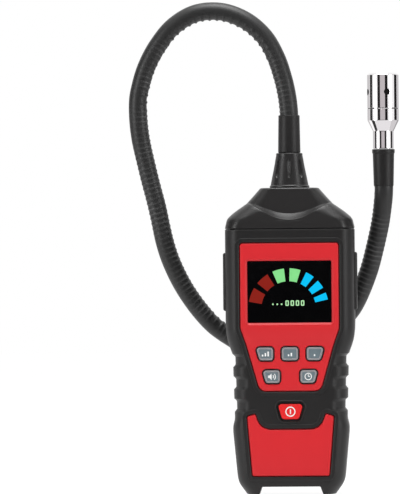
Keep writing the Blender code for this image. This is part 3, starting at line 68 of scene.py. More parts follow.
def centre_of(node):
    low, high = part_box(node)
    return (low + high) / 2.0


def round_size(node):
    """Radius, height and foot of an upright round node."""
    low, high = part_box(node)
    return (high.x - low.x) / 2.0, high.z - low.z, low.z


def metres(*rows):
    """Turns rows of millimetres into metres."""
    return tuple(tuple(size * MM for size in row) for row in rows)


CAP_LOW, CAP_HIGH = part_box("top_cap")
AXIS = Vector((centre_of("top_cap").x, centre_of("top_cap").y, 0.0))
HEAD_HALF_WIDTH = (CAP_HIGH.x - CAP_LOW.x) / 2.0
HEAD_DEPTH = (CAP_HIGH.y - CAP_LOW.y) / 2.0
CASE_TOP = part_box("front_armour")[1].z
PARTING_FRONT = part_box("front_armour")[1].y - AXIS.y
PARTING_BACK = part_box("rear_case")[0].y - AXIS.y
CAP_TOP = CAP_HIGH.z
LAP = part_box("front_case")[1].y - AXIS.y
HEAD_X = centre_of("sensor_cap").x - AXIS.x
GAP = PARTING_BACK - PARTING_FRONT
NECK_START_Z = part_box("neck_collar")[1].z - 0.5 * GAP

# Case sizes that the frame's boxes don't give
HANDLE_FRONT_DEPTH = HEAD_DEPTH - 1.2 * MM
HANDLE_BACK_DEPTH = HEAD_DEPTH - 2.0 * MM
CORNER_X = 8.5 * MM
CORNER_Y = 11.0 * MM
ARMOUR_WALL = 2.0 * MM
CASE_WALL = 1.8 * MM
REAR_WALL = 2.0 * MM
NECK_RADIUS = 5.25 * MM
HANDLE_TOP = 84.5 * MM
SHOULDER_LOW = 80.4 * MM
SHOULDER_HIGH = 94.0 * MM
WAIST = 33.2 * MM
BULGE = 33.3 * MM
HALF_WIDTHS = (
    (0.0, 25.2 * MM),
    (3.0 * MM, 27.5 * MM),
    (6.4 * MM, 29.9 * MM),
    (9.5 * MM, 30.8 * MM),
    (13.5 * MM, 31.2 * MM),
    (36.0 * MM, BULGE),
    (39.5 * MM, BULGE),
    (43.5 * MM, WAIST - 1.0 * MM),
    (SHOULDER_LOW, WAIST),
    (SHOULDER_LOW + 4.5 * MM, HEAD_HALF_WIDTH - 2.1 * MM),
    (SHOULDER_LOW + 8.5 * MM, HEAD_HALF_WIDTH - 0.9 * MM),
    (SHOULDER_HIGH, HEAD_HALF_WIDTH - 0.2 * MM),
    (SHOULDER_HIGH + 5.0 * MM, HEAD_HALF_WIDTH),
    (CASE_TOP, HEAD_HALF_WIDTH),
)
FRONT_DEPTHS = (
    (0.0, 16.6 * MM),
    (3.0 * MM, 17.5 * MM),
    (6.4 * MM, 18.2 * MM),
    (13.5 * MM, HANDLE_FRONT_DEPTH),
    (HANDLE_TOP, HANDLE_FRONT_DEPTH),
    (SHOULDER_HIGH, HEAD_DEPTH),
    (CASE_TOP, HEAD_DEPTH),
)
BACK_DEPTHS = (
    (0.0, 17.2 * MM),
    (3.0 * MM, HANDLE_BACK_DEPTH),
    (HANDLE_TOP, HANDLE_BACK_DEPTH),
    (SHOULDER_HIGH, HEAD_DEPTH),
    (CASE_TOP, HEAD_DEPTH),
)
NOTCH_COUNT = 3
NOTCH_FIRST_Z = 51.4 * MM
NOTCH_PITCH = 12.75 * MM
NOTCH_WIDTH = 5.0 * MM
NOTCH_RAMP = 1.1 * MM
NOTCH_DEPTH = 1.4 * MM
BITE_FROM = 23.6 * MM
BITE_FULL = 29.0 * MM
BITE_DEPTH = 1.1 * MM
PAD_LOW = CASE_TOP - 46.6 * MM
PAD_HIGH = CASE_TOP - 13.2 * MM
PAD_PROUD = 1.35 * MM
PAD_HALF_DEPTH = 9.5 * MM
FEET_TOP = 4.7 * MM
SOLE_THICK = 1.3 * MM
FEET_GAP_LOW = 36.9 * MM
FEET_GAP_HIGH = 33.4 * MM
PANEL_PROUD = 0.25 * MM
UPPER_PANEL_RIGHT = metres(
    (28.1, 143.9, 1.5),
    (28.1, 95.2, 6.0),
    (24.9, 86.2, 10.0),
    (17.3, 59.6, 4.6),
)
LOWER_PANEL_RIGHT = metres(
    (17.4, 37.3, 8.5),
    (20.2, 46.3, 0.9),
    (24.7, 44.9, 1.2),
    (21.9, 11.0, 0.9),
)
WINDOW_WIDTH = 48.3 * MM
WINDOW_HEIGHT = 35.6 * MM
WINDOW_Z = centre_of("display_window").z
WINDOW_RECESS = 0.9 * MM
KEY_CORNER = 1.7 * MM
KEY_FLANGE = 1.0 * MM
KEY_SLIT = 0.85 * MM
POWER_RIM_WIDTH = 2.3 * MM
POWER_RIM_PROUD = 0.4 * MM

# A print or a lit field: its thickness, and the slit between it and what carries it
PRINT_THICK = 0.03 * MM
PRINT_SLIT = 0.002 * MM

# Rounding of the metal edges where the head's base and cap meet
HEAD_SEAM = 0.12 * MM

SCREW_NODES = tuple(
    f"case_screw_{height}_{side}" for height in ("upper", "lower") for side in ("left", "right")
)

# How far cutting forms reach: a little past a face, a core past the parting face and
# over the top of the case, and right out of its back and its foot
PAST = 1.0 * MM
CORE_PAST = 6.0 * MM
CORE_OVER = 4.0 * MM
OUT_BACK = 0.04
OUT_BELOW = -0.02

# Top cap, from its seam up: share of its height, millimetres drawn in from the sides
# and from front and back, share by which the middle of these drops, corner share
CAP_SEAM = CASE_TOP + GAP
CAP_HEIGHT = CAP_TOP - CAP_SEAM
CAP_CORNER = 0.23
CAP_SKIRT = (
    (-0.008, 0.4, 0.9, 0.0, CAP_CORNER),
    (0.005, 0.25, 0.6, 0.0, CAP_CORNER),
    (0.018, 0.1, 0.15, 0.0, CAP_CORNER),
)
CAP_TIER = (
    (0.026, 0.02, 0.02, 0.0, CAP_CORNER),
    (0.119, 0.5, 0.1, 0.0, 0.25),
    (0.255, 1.6, 0.2, 0.068, 0.3),
    (0.404, 5.35, 0.3, 0.209, 0.38),
    (0.549, 10.15, 0.4, 0.336, 0.45),
    (0.605, 12.1, 0.45, 0.384, 0.49),
)
CAP_LEDGE = (
    (0.615, 12.4, 0.55, 0.39, 0.5),
    (0.619, 12.5, 0.9, 0.389, 0.5),
    (0.64, 13.0, 4.6, 0.27, 0.42),
)
CAP_CROWN = (
    (0.648, 13.1, 4.72, 0.265, 0.42),
    (0.774, 15.85, 5.3, 0.187, 0.4),
    (0.949, 19.45, 6.3, 0.043, 0.4),
    (0.968, 19.85, 6.42, 0.02, 0.4),
)
CAP_RIM = (
    (0.984, 20.2, 6.65, 0.005, 0.4),
    (0.995, 20.6, 7.0, 0.0, 0.4),
    (1.0, 21.3, 7.6, 0.0, 0.4),
)
CAP_INSIDE = (
    (0.153, 7.6, 4.7, 0.021, 0.6),
    (0.485, 16.55, 7.1, 0.149, 0.9),
    (0.889, 23.45, 9.7, 0.0, 0.94),
)
CAP_DROP_POWER = 1.6

# Route of the gooseneck, in millimetres from the middle of the cap's top
NECK_ROUTE = (
    (0.0, 0.0, 38.3), (-0.3, 0.0, 45.8), (-1.3, 0.0, 53.8),
    (-3.4, 0.0, 63.4), (-7.3, 0.0, 75.1), (-14.0, 0.0, 86.9),
    (-24.7, 0.2, 96.3), (-38.5, 0.8, 101.5), (-53.3, 1.8, 100.7),
    (-66.1, 3.0, 93.5), (-75.3, 4.2, 82.7), (-81.6, 5.5, 71.4),
    (-85.4, 6.8, 60.2), (-87.3, 8.0, 49.0), (-86.4, 10.2, 31.5),
    (-82.3, 13.2, 10.7), (-77.4, 16.5, -10.0), (-73.0, 19.5, -30.8),
    (-68.4, 21.6, -44.6), (-61.4, 23.8, -58.5), (-51.6, 26.0, -72.3),
    (-41.3, 27.3, -82.2), (-24.8, 27.8, -91.8), (-10.1, 27.8, -94.5),
    (4.4, 27.8, -92.4), (18.9, 27.6, -85.9), (31.9, 26.3, -73.5),
    (38.2, 24.6, -63.9), (44.4, 20.4, -49.0), (48.4, 15.4, -35.2),
    (51.6, 9.2, -21.5), (53.3, 3.8, -10.7), (54.1, 0.4, -2.2),
)


# Colours and material nodes

WHITE = (1.0, 1.0, 1.0, 1.0)


def linear(hex_colour):
    """Turns an sRGB hex colour into linear RGB."""
    values = [int(hex_colour[start:start + 2], 16) / 255.0 for start in (0, 2, 4)]
    return tuple(v / 12.92 if v <= 0.04045 else ((v + 0.055) / 1.055) ** 2.4 for v in values)


def add_node(tree, kind, inputs=None, **settings):
    """Adds a node with its settings; an input is a value or another node's output."""
    made = tree.nodes.new(f"ShaderNode{kind}")
    for name, value in settings.items():
        setattr(made, name, value)
    for socket, value in (inputs or {}).items():
        if isinstance(value, bpy.types.NodeSocket):
            tree.links.new(value, made.inputs[socket])
        else:
            made.inputs[socket].default_value = value
    return made


def start_material(name, colour, roughness, **constants):
    """A Principled material with its constant values on the shader's own sockets."""
    made = bpy.data.materials.new(name)
    made.use_nodes = True
    made.diffuse_color = (*colour, 1.0)
    tree = made.node_tree
    shader = tree.nodes["Principled BSDF"]
    shader.inputs["Base Color"].default_value = (*colour, 1.0)
    shader.inputs["Roughness"].default_value = roughness
    for socket, value in constants.items():
        shader.inputs[socket.replace("_", " ")].default_value = value
    place = add_node(tree, "TexCoord").outputs["Object"]
    return made, tree, shader, place


def shade_range(colour, spread):
    """Two RGBA colours, darker and lighter than the given one."""
    dark = (*[value * (1.0 - spread) for value in colour], 1.0)
    light = (*[min(1.0, value * (1.0 + spread)) for value in colour], 1.0)
    return dark, light


def per_size(millimetres):
    """Noise scale for a pattern of that size."""
    return 1.0 / (millimetres * MM)


def surface(tree, shader, tint, relief, colour, spread, gloss, bump):
    """One pattern clouds the colour; the other varies the gloss and raises the relief.

    The gloss is the least and most roughness, the bump its strength and its depth.
    """
    dark, light = shade_range(colour, spread)
    tone = add_node(
        tree, "Mix",
        {"Factor": tint.outputs["Fac"], "A": dark, "B": light},
        data_type="RGBA",
    )
    sheen = add_node(
        tree, "MapRange",
        {
            "Value": relief.outputs["Fac"],
            "From Min": 0.3, "From Max": 0.7, "To Min": gloss[0], "To Max": gloss[1],
        },
    )
    raised = add_node(
        tree, "Bump",
        {"Height": relief.outputs["Fac"], "Strength": bump[0], "Distance": bump[1]},
    )
    tree.links.new(tone.outputs["Result"], shader.inputs["Base Color"])
    tree.links.new(sheen.outputs["Result"], shader.inputs["Roughness"])
    tree.links.new(raised.outputs["Normal"], shader.inputs["Normal"])


def grained(name, colour, roughness, grain_mm, grain_depth_mm, spread, **constants):
    """A moulded surface: the tool's spark-eroded grain, and slight clouding from the flow."""
    made, tree, shader, place = start_material(name, colour, roughness, **constants)
    cloud = add_node(
        tree, "TexNoise",
        {"Vector": place, "Scale": per_size(14.0), "Detail": 3.0, "Roughness": 0.6},
    )
    grain = add_node(
        tree, "TexNoise",
        {"Vector": place, "Scale": per_size(grain_mm), "Detail": 4.0, "Roughness": 0.65},
    )
    gloss = (roughness - 0.06, roughness + 0.06)
    surface(tree, shader, cloud, grain, colour, spread, gloss, (0.35, grain_depth_mm * MM))
    return made


def brushed(name, colour, roughness, line_mm, spread=0.04):
    """Metal with fine turning lines round its axis."""
    made, tree, shader, place = start_material(name, colour, roughness, Metallic=1.0)
    stretch = add_node(
        tree, "Mapping", {"Vector": place, "Scale": (0.04, 0.04, 1.0)},
    )
    lines = add_node(
        tree, "TexNoise",
        {"Vector": stretch.outputs["Vector"], "Scale": per_size(line_mm), "Detail": 3.0},
    )
    gloss = (roughness * 0.7, roughness * 1.4)
    surface(tree, shader, lines, lines, colour, spread, gloss, (0.1, 0.002 * MM))
    return made


def glowing(name, colour, strength):
    """A lit field of the display, with the faint mottle of its backlight."""
    made, tree, shader, place = start_material(name, (0.0, 0.0, 0.0), 0.3)
    mottle = add_node(
        tree, "TexNoise", {"Vector": place, "Scale": per_size(2.5), "Detail": 2.0},
    )
    dark, light = shade_range(colour, 0.07)
    tone = add_node(
        tree, "Mix",
        {"Factor": mottle.outputs["Fac"], "A": dark, "B": light},
        data_type="RGBA",
    )
    tree.links.new(tone.outputs["Result"], shader.inputs["Emission Color"])
    shader.inputs["Emission Strength"].default_value = strength
    shader.inputs["Specular IOR Level"].default_value = 0.1
    return made


def paint_crest_highlight(made, colour):
    """Paints a highlight into the colour: paler where the mesh marks the crests of the turns."""
    tree = made.node_tree
    base = tree.nodes["Principled BSDF"].inputs["Base Color"]
    rubbed = add_node(tree, "Attribute", attribute_name="rubbed")
    tone = add_node(
        tree, "Mix",
        {
            "Factor": rubbed.outputs["Fac"],
            "A": base.links[0].from_socket,
            "B": (*colour, 1.0),
        },
        data_type="RGBA",
    )
    tree.links.new(tone.outputs["Result"], base)


MATERIALS = {}


def make_materials(look):
    """All finishes, each named for what the real one is and how it was made."""
    # Each row: name, colour, roughness, the grain's size and depth in millimetres,
    # clouding, IOR, specular level
    moulded = {
        # Overmoulded thermoplastic elastomer: black, soft to the touch, almost no gloss
        "elastomer": (
            "moulded_black_elastomer", look.armour_colour, 0.46, 0.55, 0.03, 0.06, 1.5, 0.35,
        ),
        # The same elastomer from a polished mould: cap and collar, with a satin gloss
        "satin_elastomer": (
            "polished_black_elastomer", look.armour_colour, 0.36, 0.55, 0.02, 0.06, 1.5, 0.5,
        ),
        # Injection-moulded ABS, black: the same grain with a little more sheen
        "black_abs": (
            "moulded_black_abs", look.rear_colour, 0.42, 0.6, 0.04, 0.06, 1.53, 0.35,
        ),
        # Injection-moulded ABS, red: satin, even colour, a soft wide highlight
        "red_abs": ("moulded_red_abs", look.panel_colour, 0.4, 0.5, 0.02, 0.03, 1.53, 0.3),
        # Silicone key tops: satin, slightly dusty to the eye; the grey of their rims is painted
        # paler than the blue-grey field inside, a painted highlight on the rims
        "grey_silicone": (
            "moulded_grey_silicone", look.key_rim_highlight_colour, 0.48, 0.5, 0.03, 0.06, 1.41, 0.35,
        ),
        "key_field": ("key_field_varnish", look.field_colour, 0.4, 0.5, 0.02, 0.06, 1.45, 0.35),
        "red_silicone": (
            "moulded_red_silicone", look.power_colour, 0.45, 0.5, 0.03, 0.03, 1.41, 0.3,
        ),
        # Pad-printed ink: flat white, thinner than a hair
        "ink": ("pad_printed_white_ink", look.ink_colour, 0.6, 0.4, 0.01, 0.02, 1.5, 0.5),
        # Elastomer sheath drawn over a wound core: satin, with a soft long highlight
        "sheath": ("drawn_black_sheath", look.sheath_colour, 0.42, 0.8, 0.012, 0.05, 1.5, 0.4),
        # Hard-coated acrylic over the display: near black and almost free of glare
        "acrylic": ("hard_coated_acrylic", look.window_colour, 0.12, 3.0, 0.002, 0.1, 1.49, 0.12),
        # Glass-fibre laminate under green solder resist
        "laminate": ("green_board_laminate", linear("1d5c38"), 0.4, 1.2, 0.02, 0.06, 1.5, 0.5),
        # Polyurethane foam: black, open and quite matt, its black taken darker as painted shade
        # inside the head's vents
        "foam": ("black_polyurethane_foam", linear("161616"), 0.9, 0.5, 0.2, 0.06, 1.5, 0.1),
        # Nylon, natural: off-white and waxy
        "nylon": ("moulded_white_nylon", linear("e2ddd0"), 0.5, 0.8, 0.02, 0.06, 1.5, 0.5),
        # Printed film wrap of a dry cell: plain dark blue, glossy
        "wrap": ("plain_cell_wrap", linear("2b3550"), 0.3, 2.0, 0.01, 0.06, 1.5, 0.5),
    }
    for key, (*values, ior, specular) in moulded.items():
        MATERIALS[key] = grained(*values, IOR=ior, Specular_IOR_Level=specular)
    # Painted highlight: pale lines on the crests of the sheath's turns
    paint_crest_highlight(MATERIALS["sheath"], look.crest_highlight_colour)
    # Chrome-plated turned brass: mirror bright, with traces of the turning below the plate
    MATERIALS["chrome"] = brushed("chrome_plated_brass", look.chrome_colour, 0.05, 0.35, 0.015)
    # Zinc-plated steel: pale grey, half matt
    MATERIALS["zinc"] = brushed("zinc_plated_steel", linear("b9babd"), 0.3, 0.5)
    # Display fields: light of one colour through the dark window
    for part in ("low", "middle", "high", "text"):
        colour = getattr(look, f"{part}_colour")
        MATERIALS[f"lit_{part}"] = glowing(f"display_lit_{part}", colour, look.display_strength)


# Mesh tools

def mesh_from(name, bm):
    bmesh.ops.recalc_face_normals(bm, faces=bm.faces[:])
    mesh = bpy.data.meshes.new(name)
    bm.to_mesh(mesh)
    bm.free()
    item = bpy.data.objects.new(name, mesh)
    bpy.context.scene.collection.objects.link(item)
    return item


def loft(name, rings, closed=False):
    """Skins rings with equal numbers of points; closed joins the last ring to the first."""
    bm = bmesh.new()
    rows = [[bm.verts.new(point) for point in ring] for ring in rings]
    count = len(rows[0])
    pairs = list(zip(rows, rows[1:]))
    if closed:
        pairs.append((rows[-1], rows[0]))
    for lower, upper in pairs:
        for index in range(count):
            after = (index + 1) % count
            bm.faces.new((lower[index], lower[after], upper[after], upper[index]))
    if not closed:
        bm.faces.new(rows[0])
        bm.faces.new(rows[-1])
    return mesh_from(name, bm)


def carve(item, other, operation="DIFFERENCE"):
    """Cuts item with other, or joins other to it, and removes other."""
    change = item.modifiers.new("carve", "BOOLEAN")
    change.operation = operation
    change.object = other
    change.solver = "EXACT"
    bpy.context.view_layer.update()
    graph = bpy.context.evaluated_depsgraph_get()
    made = bpy.data.meshes.new_from_object(item.evaluated_get(graph))
    item.modifiers.remove(change)
    old = item.data
    item.data = made
    made.name = item.name
    bpy.data.meshes.remove(old)
    spent = other.data
    bpy.data.objects.remove(other, do_unlink=True)
    bpy.data.meshes.remove(spent)


def soften(item, degrees=34.0):
    """Smooth shading, kept crisp where faces meet at more than the angle."""
    item.data.shade_smooth()
    item.data.set_sharp_from_angle(angle=math.radians(degrees))
    return item


def settle(item, body, slot, finish, *nodes, at=AXIS):
    """Gives a piece its finish and place and its body, and hides the frame nodes it stands for."""
    item.data.materials.clear()
    item.data.materials.append(MATERIALS[finish])
    item.location = at
    bpy.context.view_layer.update()
    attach(item, body)
    if nodes:
        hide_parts(*nodes)


def upright(x, z):
    """The place at a height on an upright axis, x to the right of the case's own."""
    return AXIS + Vector((x, 0.0, z))


def interpolate(table, height):
    """Reads a (height, value) table between its rows."""
    for (low, low_value), (high, high_value) in zip(table, table[1:]):
        if height <= high:
            share = max(0.0, height - low) / (high - low)
            return low_value + share * (high_value - low_value)
    return table[-1][1]


def eased(table, height, reach):
    """The mean of a table's values round a height, which rounds its corners."""
    shares = (-1.0, -0.6, -0.2, 0.2, 0.6, 1.0)
    heights = [max(0.0, height + reach * share) for share in shares]
    return sum(interpolate(table, near) for near in heights) / len(shares)


def grown(corners, distance):
    """Moves every edge of a closed outline outwards; corners are (x, z, radius)."""
    result = []
    for index, (x, z, radius) in enumerate(corners):
        here = Vector((x, z))
        before = Vector(corners[index - 1][:2])
        after = Vector(corners[(index + 1) % len(corners)][:2])
        first = (here - before).normalized()
        second = (after - here).normalized()
        first_normal = Vector((first.y, -first.x))
        second_normal = Vector((second.y, -second.x))
        shift = (first_normal + second_normal) / (1.0 + first_normal.dot(second_normal))
        turn = first.x * second.y - first.y * second.x
        side = 1.0 if turn > 0.0 else -1.0
        moved = here + shift * distance
        result.append((moved.x, moved.y, max(radius + side * distance, 0.1 * MM)))
    return result


def rounded(corners, steps=10):
    """Replaces each (x, z, radius) corner by an arc; returns (x, z) points."""
    points = []
    for index, (x, z, radius) in enumerate(corners):
        here = Vector((x, z))
        before = Vector(corners[index - 1][:2])
        after = Vector(corners[(index + 1) % len(corners)][:2])
        first = (here - before).normalized()
        second = (after - here).normalized()
        turn = math.atan2(first.x * second.y - first.y * second.x, first.dot(second))
        reach = radius * math.tan(abs(turn) / 2.0)
        side = math.copysign(1.0, turn)
        centre = here - first * reach + Vector((-first.y, first.x)) * radius * side
        arm = here - first * reach - centre
        for step in range(steps + 1):
            angle = turn * step / steps
            cos, sin = math.cos(angle), math.sin(angle)
            turned = Vector((arm.x * cos - arm.y * sin, arm.x * sin + arm.y * cos))
            points.append(tuple(centre + turned))
    return points


def mirrored(right_side):
    """Closes an outline from its right-hand corners, listed in order down the side."""
    return [(-x, z, radius) for x, z, radius in right_side] + list(reversed(right_side))


def rectangle(width, height, x, z, radius):
    """Corners of a rectangle round (x, z), each with its radius."""
    half_x, half_z = width / 2.0, height / 2.0
    return [
        (x - half_x, z - half_z, radius),
        (x + half_x, z - half_z, radius),
        (x + half_x, z + half_z, radius),
        (x - half_x, z + half_z, radius),
    ]


def circle(sides, radius, x=0.0, z=0.0):
    turns = [2.0 * math.pi / sides * step for step in range(sides)]
    return [(x + radius * math.cos(turn), z + radius * math.sin(turn)) for turn in turns]


def quarter_round(edge, steps, start=0.0):
    """Steps of a rounded edge: how far in from its side, how far down from its top."""
    for step in range(steps + 1):
        angle = math.radians(start + (90.0 - start) * step / steps)
        yield edge * (1.0 - math.sin(angle)), edge * (1.0 - math.cos(angle))


def plates(name, layers, closed=False):
    """Lofts (y, outline) layers from front to back."""
    return loft(name, [[(x, y, z) for x, z in outline] for y, outline in layers], closed)


def slab(name, front, back, outer, inner=None):
    """A plate between two depths, open in the middle where it has an inner outline."""
    layers = [(front, outer), (back, outer)]
    if inner:
        layers += [(back, inner), (front, inner)]
    return plates(name, layers, closed=bool(inner))


def rod(name, sides, radius, low, high):
    """An upright round bar on the piece's own axis."""
    return loft(name, [[(x, y, z) for x, y in circle(sides, radius)] for z in (low, high)])


def bent_plates(name, layers):
    """Like plates, but y is a depth below the case's front, which the plate follows."""
    item = plates(name, layers)
    bm = bmesh.new()
    bm.from_mesh(item.data)
    low = min(vert.co.z for vert in bm.verts)
    high = max(vert.co.z for vert in bm.verts)
    bends = [3.0, 6.4, 10.0, 12.5, 15.0] + [82.0 + 1.2 * index for index in range(13)]
    apart = 0.1 * MM
    for height in (bend * MM for bend in bends):
        if low + apart < height < high - apart:
            geometry = bm.verts[:] + bm.edges[:] + bm.faces[:]
            level = Vector((0.0, 0.0, height))
            bmesh.ops.bisect_plane(bm, geom=geometry, plane_co=level, plane_no=(0.0, 0.0, 1.0))
    for vert in bm.verts:
        vert.co.y -= front_depth(vert.co.z)
    bm.to_mesh(item.data)
    bm.free()
    return item


def true_walls(item):
    """Gives the long walls of a turned piece the normals of the true round surface."""
    tall, slight = 0.6 * MM, 0.1
    mesh = item.data
    plain = [Vector(corner.vector) for corner in mesh.corner_normals]
    normals = []
    for face in mesh.polygons:
        places = [mesh.vertices[mesh.loops[index].vertex_index].co for index in face.loop_indices]
        radii = [math.hypot(place.x, place.y) for place in places]
        heights = [place.z for place in places]
        along = math.hypot(max(radii) - min(radii), max(heights) - min(heights))
        out = Vector((face.center.x, face.center.y, 0.0)).normalized()
        lean = face.normal.dot(out)
        across = abs(face.normal.dot(Vector((-out.y, out.x, 0.0))))
        steady = along > tall and across < slight < abs(lean)
        for index, place in zip(face.loop_indices, places):
            turned = Vector((place.x, place.y, 0.0)).normalized() * lean
            turned.z = face.normal.z
            normals.append(turned.normalized() if steady else plain[index])
    mesh.normals_split_custom_set(normals)
    return item


def spun(name, corners, steps):
    """Turns a rounded (r, z, radius) outline about the Z axis."""
    profile = rounded(corners, 4)
    rings = []
    for index in range(steps):
        angle = 2.0 * math.pi * index / steps
        rings.append([(r * math.cos(angle), r * math.sin(angle), z) for r, z in profile])
    return loft(name, rings, closed=True)


# The case's outer form

def notch_share(height):
    """1 inside a grip notch, 0 outside, with an eased ramp between."""
    for index in range(NOTCH_COUNT):
        away = abs(height - NOTCH_FIRST_Z - index * NOTCH_PITCH)
        share = (NOTCH_WIDTH / 2.0 + NOTCH_RAMP - away) / NOTCH_RAMP
        if share > 0.0:
            share = min(1.0, share)
            return share * share * (3.0 - 2.0 * share)
    return 0.0


def front_bite(x, height):
    """How far a grip notch sinks the front face, which it reaches from the side."""
    share = max(0.0, min(1.0, (abs(x) - BITE_FROM) / (BITE_FULL - BITE_FROM)))
    return BITE_DEPTH * notch_share(height) * share * share * (3.0 - 2.0 * share)


def outer_half_width(height):
    plain = eased(HALF_WIDTHS, height, 1.4 * MM)
    plain = min(plain, interpolate(HALF_WIDTHS, height) + 0.2 * MM)
    return plain - NOTCH_DEPTH * notch_share(height)


def grip_share(height):
    """1 behind the grip, where the inner wall stands back by a notch's depth."""
    last = NOTCH_FIRST_Z + (NOTCH_COUNT - 1) * NOTCH_PITCH
    reach = NOTCH_WIDTH / 2.0 + NOTCH_RAMP
    below = (height - NOTCH_FIRST_Z + reach + 2.0 * NOTCH_RAMP) / (2.0 * NOTCH_RAMP)
    above = (last + reach + 2.0 * NOTCH_RAMP - height) / (2.0 * NOTCH_RAMP)
    return max(0.0, min(1.0, below, above))


def front_depth(height):
    return eased(FRONT_DEPTHS, height, 2.0 * MM)


def back_depth(height):
    return eased(BACK_DEPTHS, height, 1.2 * MM)


def half_section(half_width, face_y, flat_y, corner_x, corner_y, steps, edge=0.0):
    """One half of the case: a rounded D, with a small bevel at the parting face."""
    side = math.copysign(1.0, face_y)
    points = [(half_width - edge, flat_y)]
    if edge > 0.0:
        points.append((half_width, flat_y + side * edge))
    for step in range(steps + 1):
        angle = math.radians(90.0) * step / steps
        x = half_width - corner_x + corner_x * math.cos(angle)
        y = face_y - side * (corner_y - corner_y * math.sin(angle))
        points.append((x, y))
    return points + [(-x, y) for x, y in reversed(points)]


def case_skin(name, side, flat_y):
    """The fine outer form of one half of the case, as a solid."""
    depth_at = front_depth if side < 0.0 else back_depth
    edge, foot_round = 0.18 * MM, 0.7 * MM
    levels = [(0.0, foot_round), (0.25 * MM, 0.25 * MM), (foot_round, 0.0)]
    count, first = 176, 2.0 * foot_round
    span = CASE_TOP - 0.3 * MM - first
    levels += [(first + span * index / count, 0.0) for index in range(count + 1)]
    levels += [(CASE_TOP, edge)]
    rings = []
    for height, inset in levels:
        half_width = outer_half_width(height) - inset
        face = side * (depth_at(height) - inset)
        section = half_section(half_width, face, flat_y, CORNER_X, CORNER_Y, 14, edge)
        if side < 0.0:
            section = [
                (x, y + front_bite(x, height) if y < flat_y - 2.0 * MM else y) for x, y in section
            ]
        rings.append([(x, y, height) for x, y in section])
    return loft(name, rings)


def case_core(name, side, inset, low, high, flat_y):
    """A plainer solid inside the case, for cavities and inner shells."""
    table = FRONT_DEPTHS if side < 0.0 else BACK_DEPTHS
    count = 36
    rings = []
    for index in range(count + 1):
        height = low + (high - low) * index / count
        half_width = interpolate(HALF_WIDTHS, height) - NOTCH_DEPTH * grip_share(height) - inset
        face = side * (interpolate(table, height) - inset)
        section = half_section(
            half_width, face, flat_y, CORNER_X - inset / 2.0, CORNER_Y - inset, 6,
        )
        rings.append([(x, y, height) for x, y in section])
    return loft(name, rings)


def rounded_block(name, low, high, edge=0.0):
    """A box between two corners, with its edges rounded in the mesh."""
    bm = bmesh.new()
    bmesh.ops.create_cube(bm, size=1.0)
    low, high = Vector(low), Vector(high)
    for vert in bm.verts:
        for axis in range(3):
            vert.co[axis] = low[axis] + (vert.co[axis] + 0.5) * (high[axis] - low[axis])
    if edge > 0.0:
        bmesh.ops.bevel(
            bm, geom=bm.edges[:], offset=edge, segments=4, profile=0.5, affect="EDGES",
        )
    return mesh_from(name, bm)


def side_pads(item, front, back):
    """Joins a raised pad to each side of the case."""
    for side in (-1.0, 1.0):
        outer = side * (HEAD_HALF_WIDTH + PAD_PROUD)
        inner = side * (HEAD_HALF_WIDTH - ARMOUR_WALL + 0.3 * MM)
        low = (min(outer, inner), front, PAD_LOW)
        high = (max(outer, inner), back, PAD_HIGH)
        carve(item, rounded_block("pad", low, high, 1.25 * MM), "UNION")


def cut_feet(item, gap_low, gap_high, front, back):
    """Cuts the gap between the feet, with its two widths at the floor and on top."""
    flare = (gap_low - gap_high) / 2.0
    low = gap_low / 2.0 + flare * PAST / FEET_TOP
    corners = [
        (-low, -PAST, 0.2 * MM),
        (low, -PAST, 0.2 * MM),
        (gap_high / 2.0, FEET_TOP, 0.8 * MM),
        (-gap_high / 2.0, FEET_TOP, 0.8 * MM),
    ]
    carve(item, slab("feet_gap", front, back, rounded(corners)))


def flared_hole(item, corners, flare, back, steps=10, proud=0.0, spread=1.0):
    """Cuts a hole whose rim is rounded over, spread times wider than deep."""
    above, first_angle = 1.5 * MM, 8.0
    layers = []
    for inset, below in quarter_round(flare, 5, first_angle):
        layers.append((below - proud, rounded(grown(corners, spread * inset), steps)))
    layers = [(-above, layers[0][1])] + layers + [(back, rounded(corners, steps))]
    carve(item, bent_plates("hole", layers))


# Key shapes, read from the frame's keys

def key_corners(name):
    """The four corners of a key, from its box and the lean of its outer edge."""
    low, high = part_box(name)
    left = low.x - AXIS.x + KEY_FLANGE
    right = high.x - AXIS.x - KEY_FLANGE
    bottom = low.z + KEY_FLANGE
    top = high.z - KEY_FLANGE
    shape = (size * MM for size in KEY_SHAPES[name])
    out_left, out_right, lean_left, lean_right, lift = shape
    return [
        (left - out_left + lean_left, bottom + lift, KEY_CORNER),
        (right + out_right - lean_right, bottom + lift, KEY_CORNER),
        (right + out_right, top, KEY_CORNER),
        (left - out_left, top, KEY_CORNER),
    ]


def middle_of(corners):
    return sum(corner[0] for corner in corners) / 4.0, sum(corner[1] for corner in corners) / 4.0


# For each key, in millimetres: how far its left and right edges flare out at the top,
# how far they lean in below that, and how far its bottom edge sits up from its flange's
KEY_SHAPES = {
    "key_high": (0.55, 0.0, 2.3, 0.0, 0.65),
    "key_middle": (0.0, 0.0, 0.0, 0.0, 0.65),
    "key_low": (0.0, 0.6, 0.0, 2.3, 0.65),
    "key_sound": (0.5, 0.0, 2.1, 0.0, 0.8),
    "key_timer": (0.0, 0.45, 0.0, 2.0, 0.8),
    "key_power": (0.35, 0.35, 2.6, 2.6, 0.95),
}


# Settings that a user would change

def number_setting(name, description, value, **limits):
    return bpy.props.FloatProperty(name=name, description=description, default=value, **limits)


def length_setting(name, description, millimetres):
    return number_setting(
        name, description, millimetres * MM, min=0.0, unit="LENGTH", precision=5,
    )


def colour_setting(name, description, hex_colour):
    return bpy.props.FloatVectorProperty(
        name=name, description=description, default=linear(hex_colour), size=3,
        subtype="COLOR", min=0.0, max=1.0,
    )


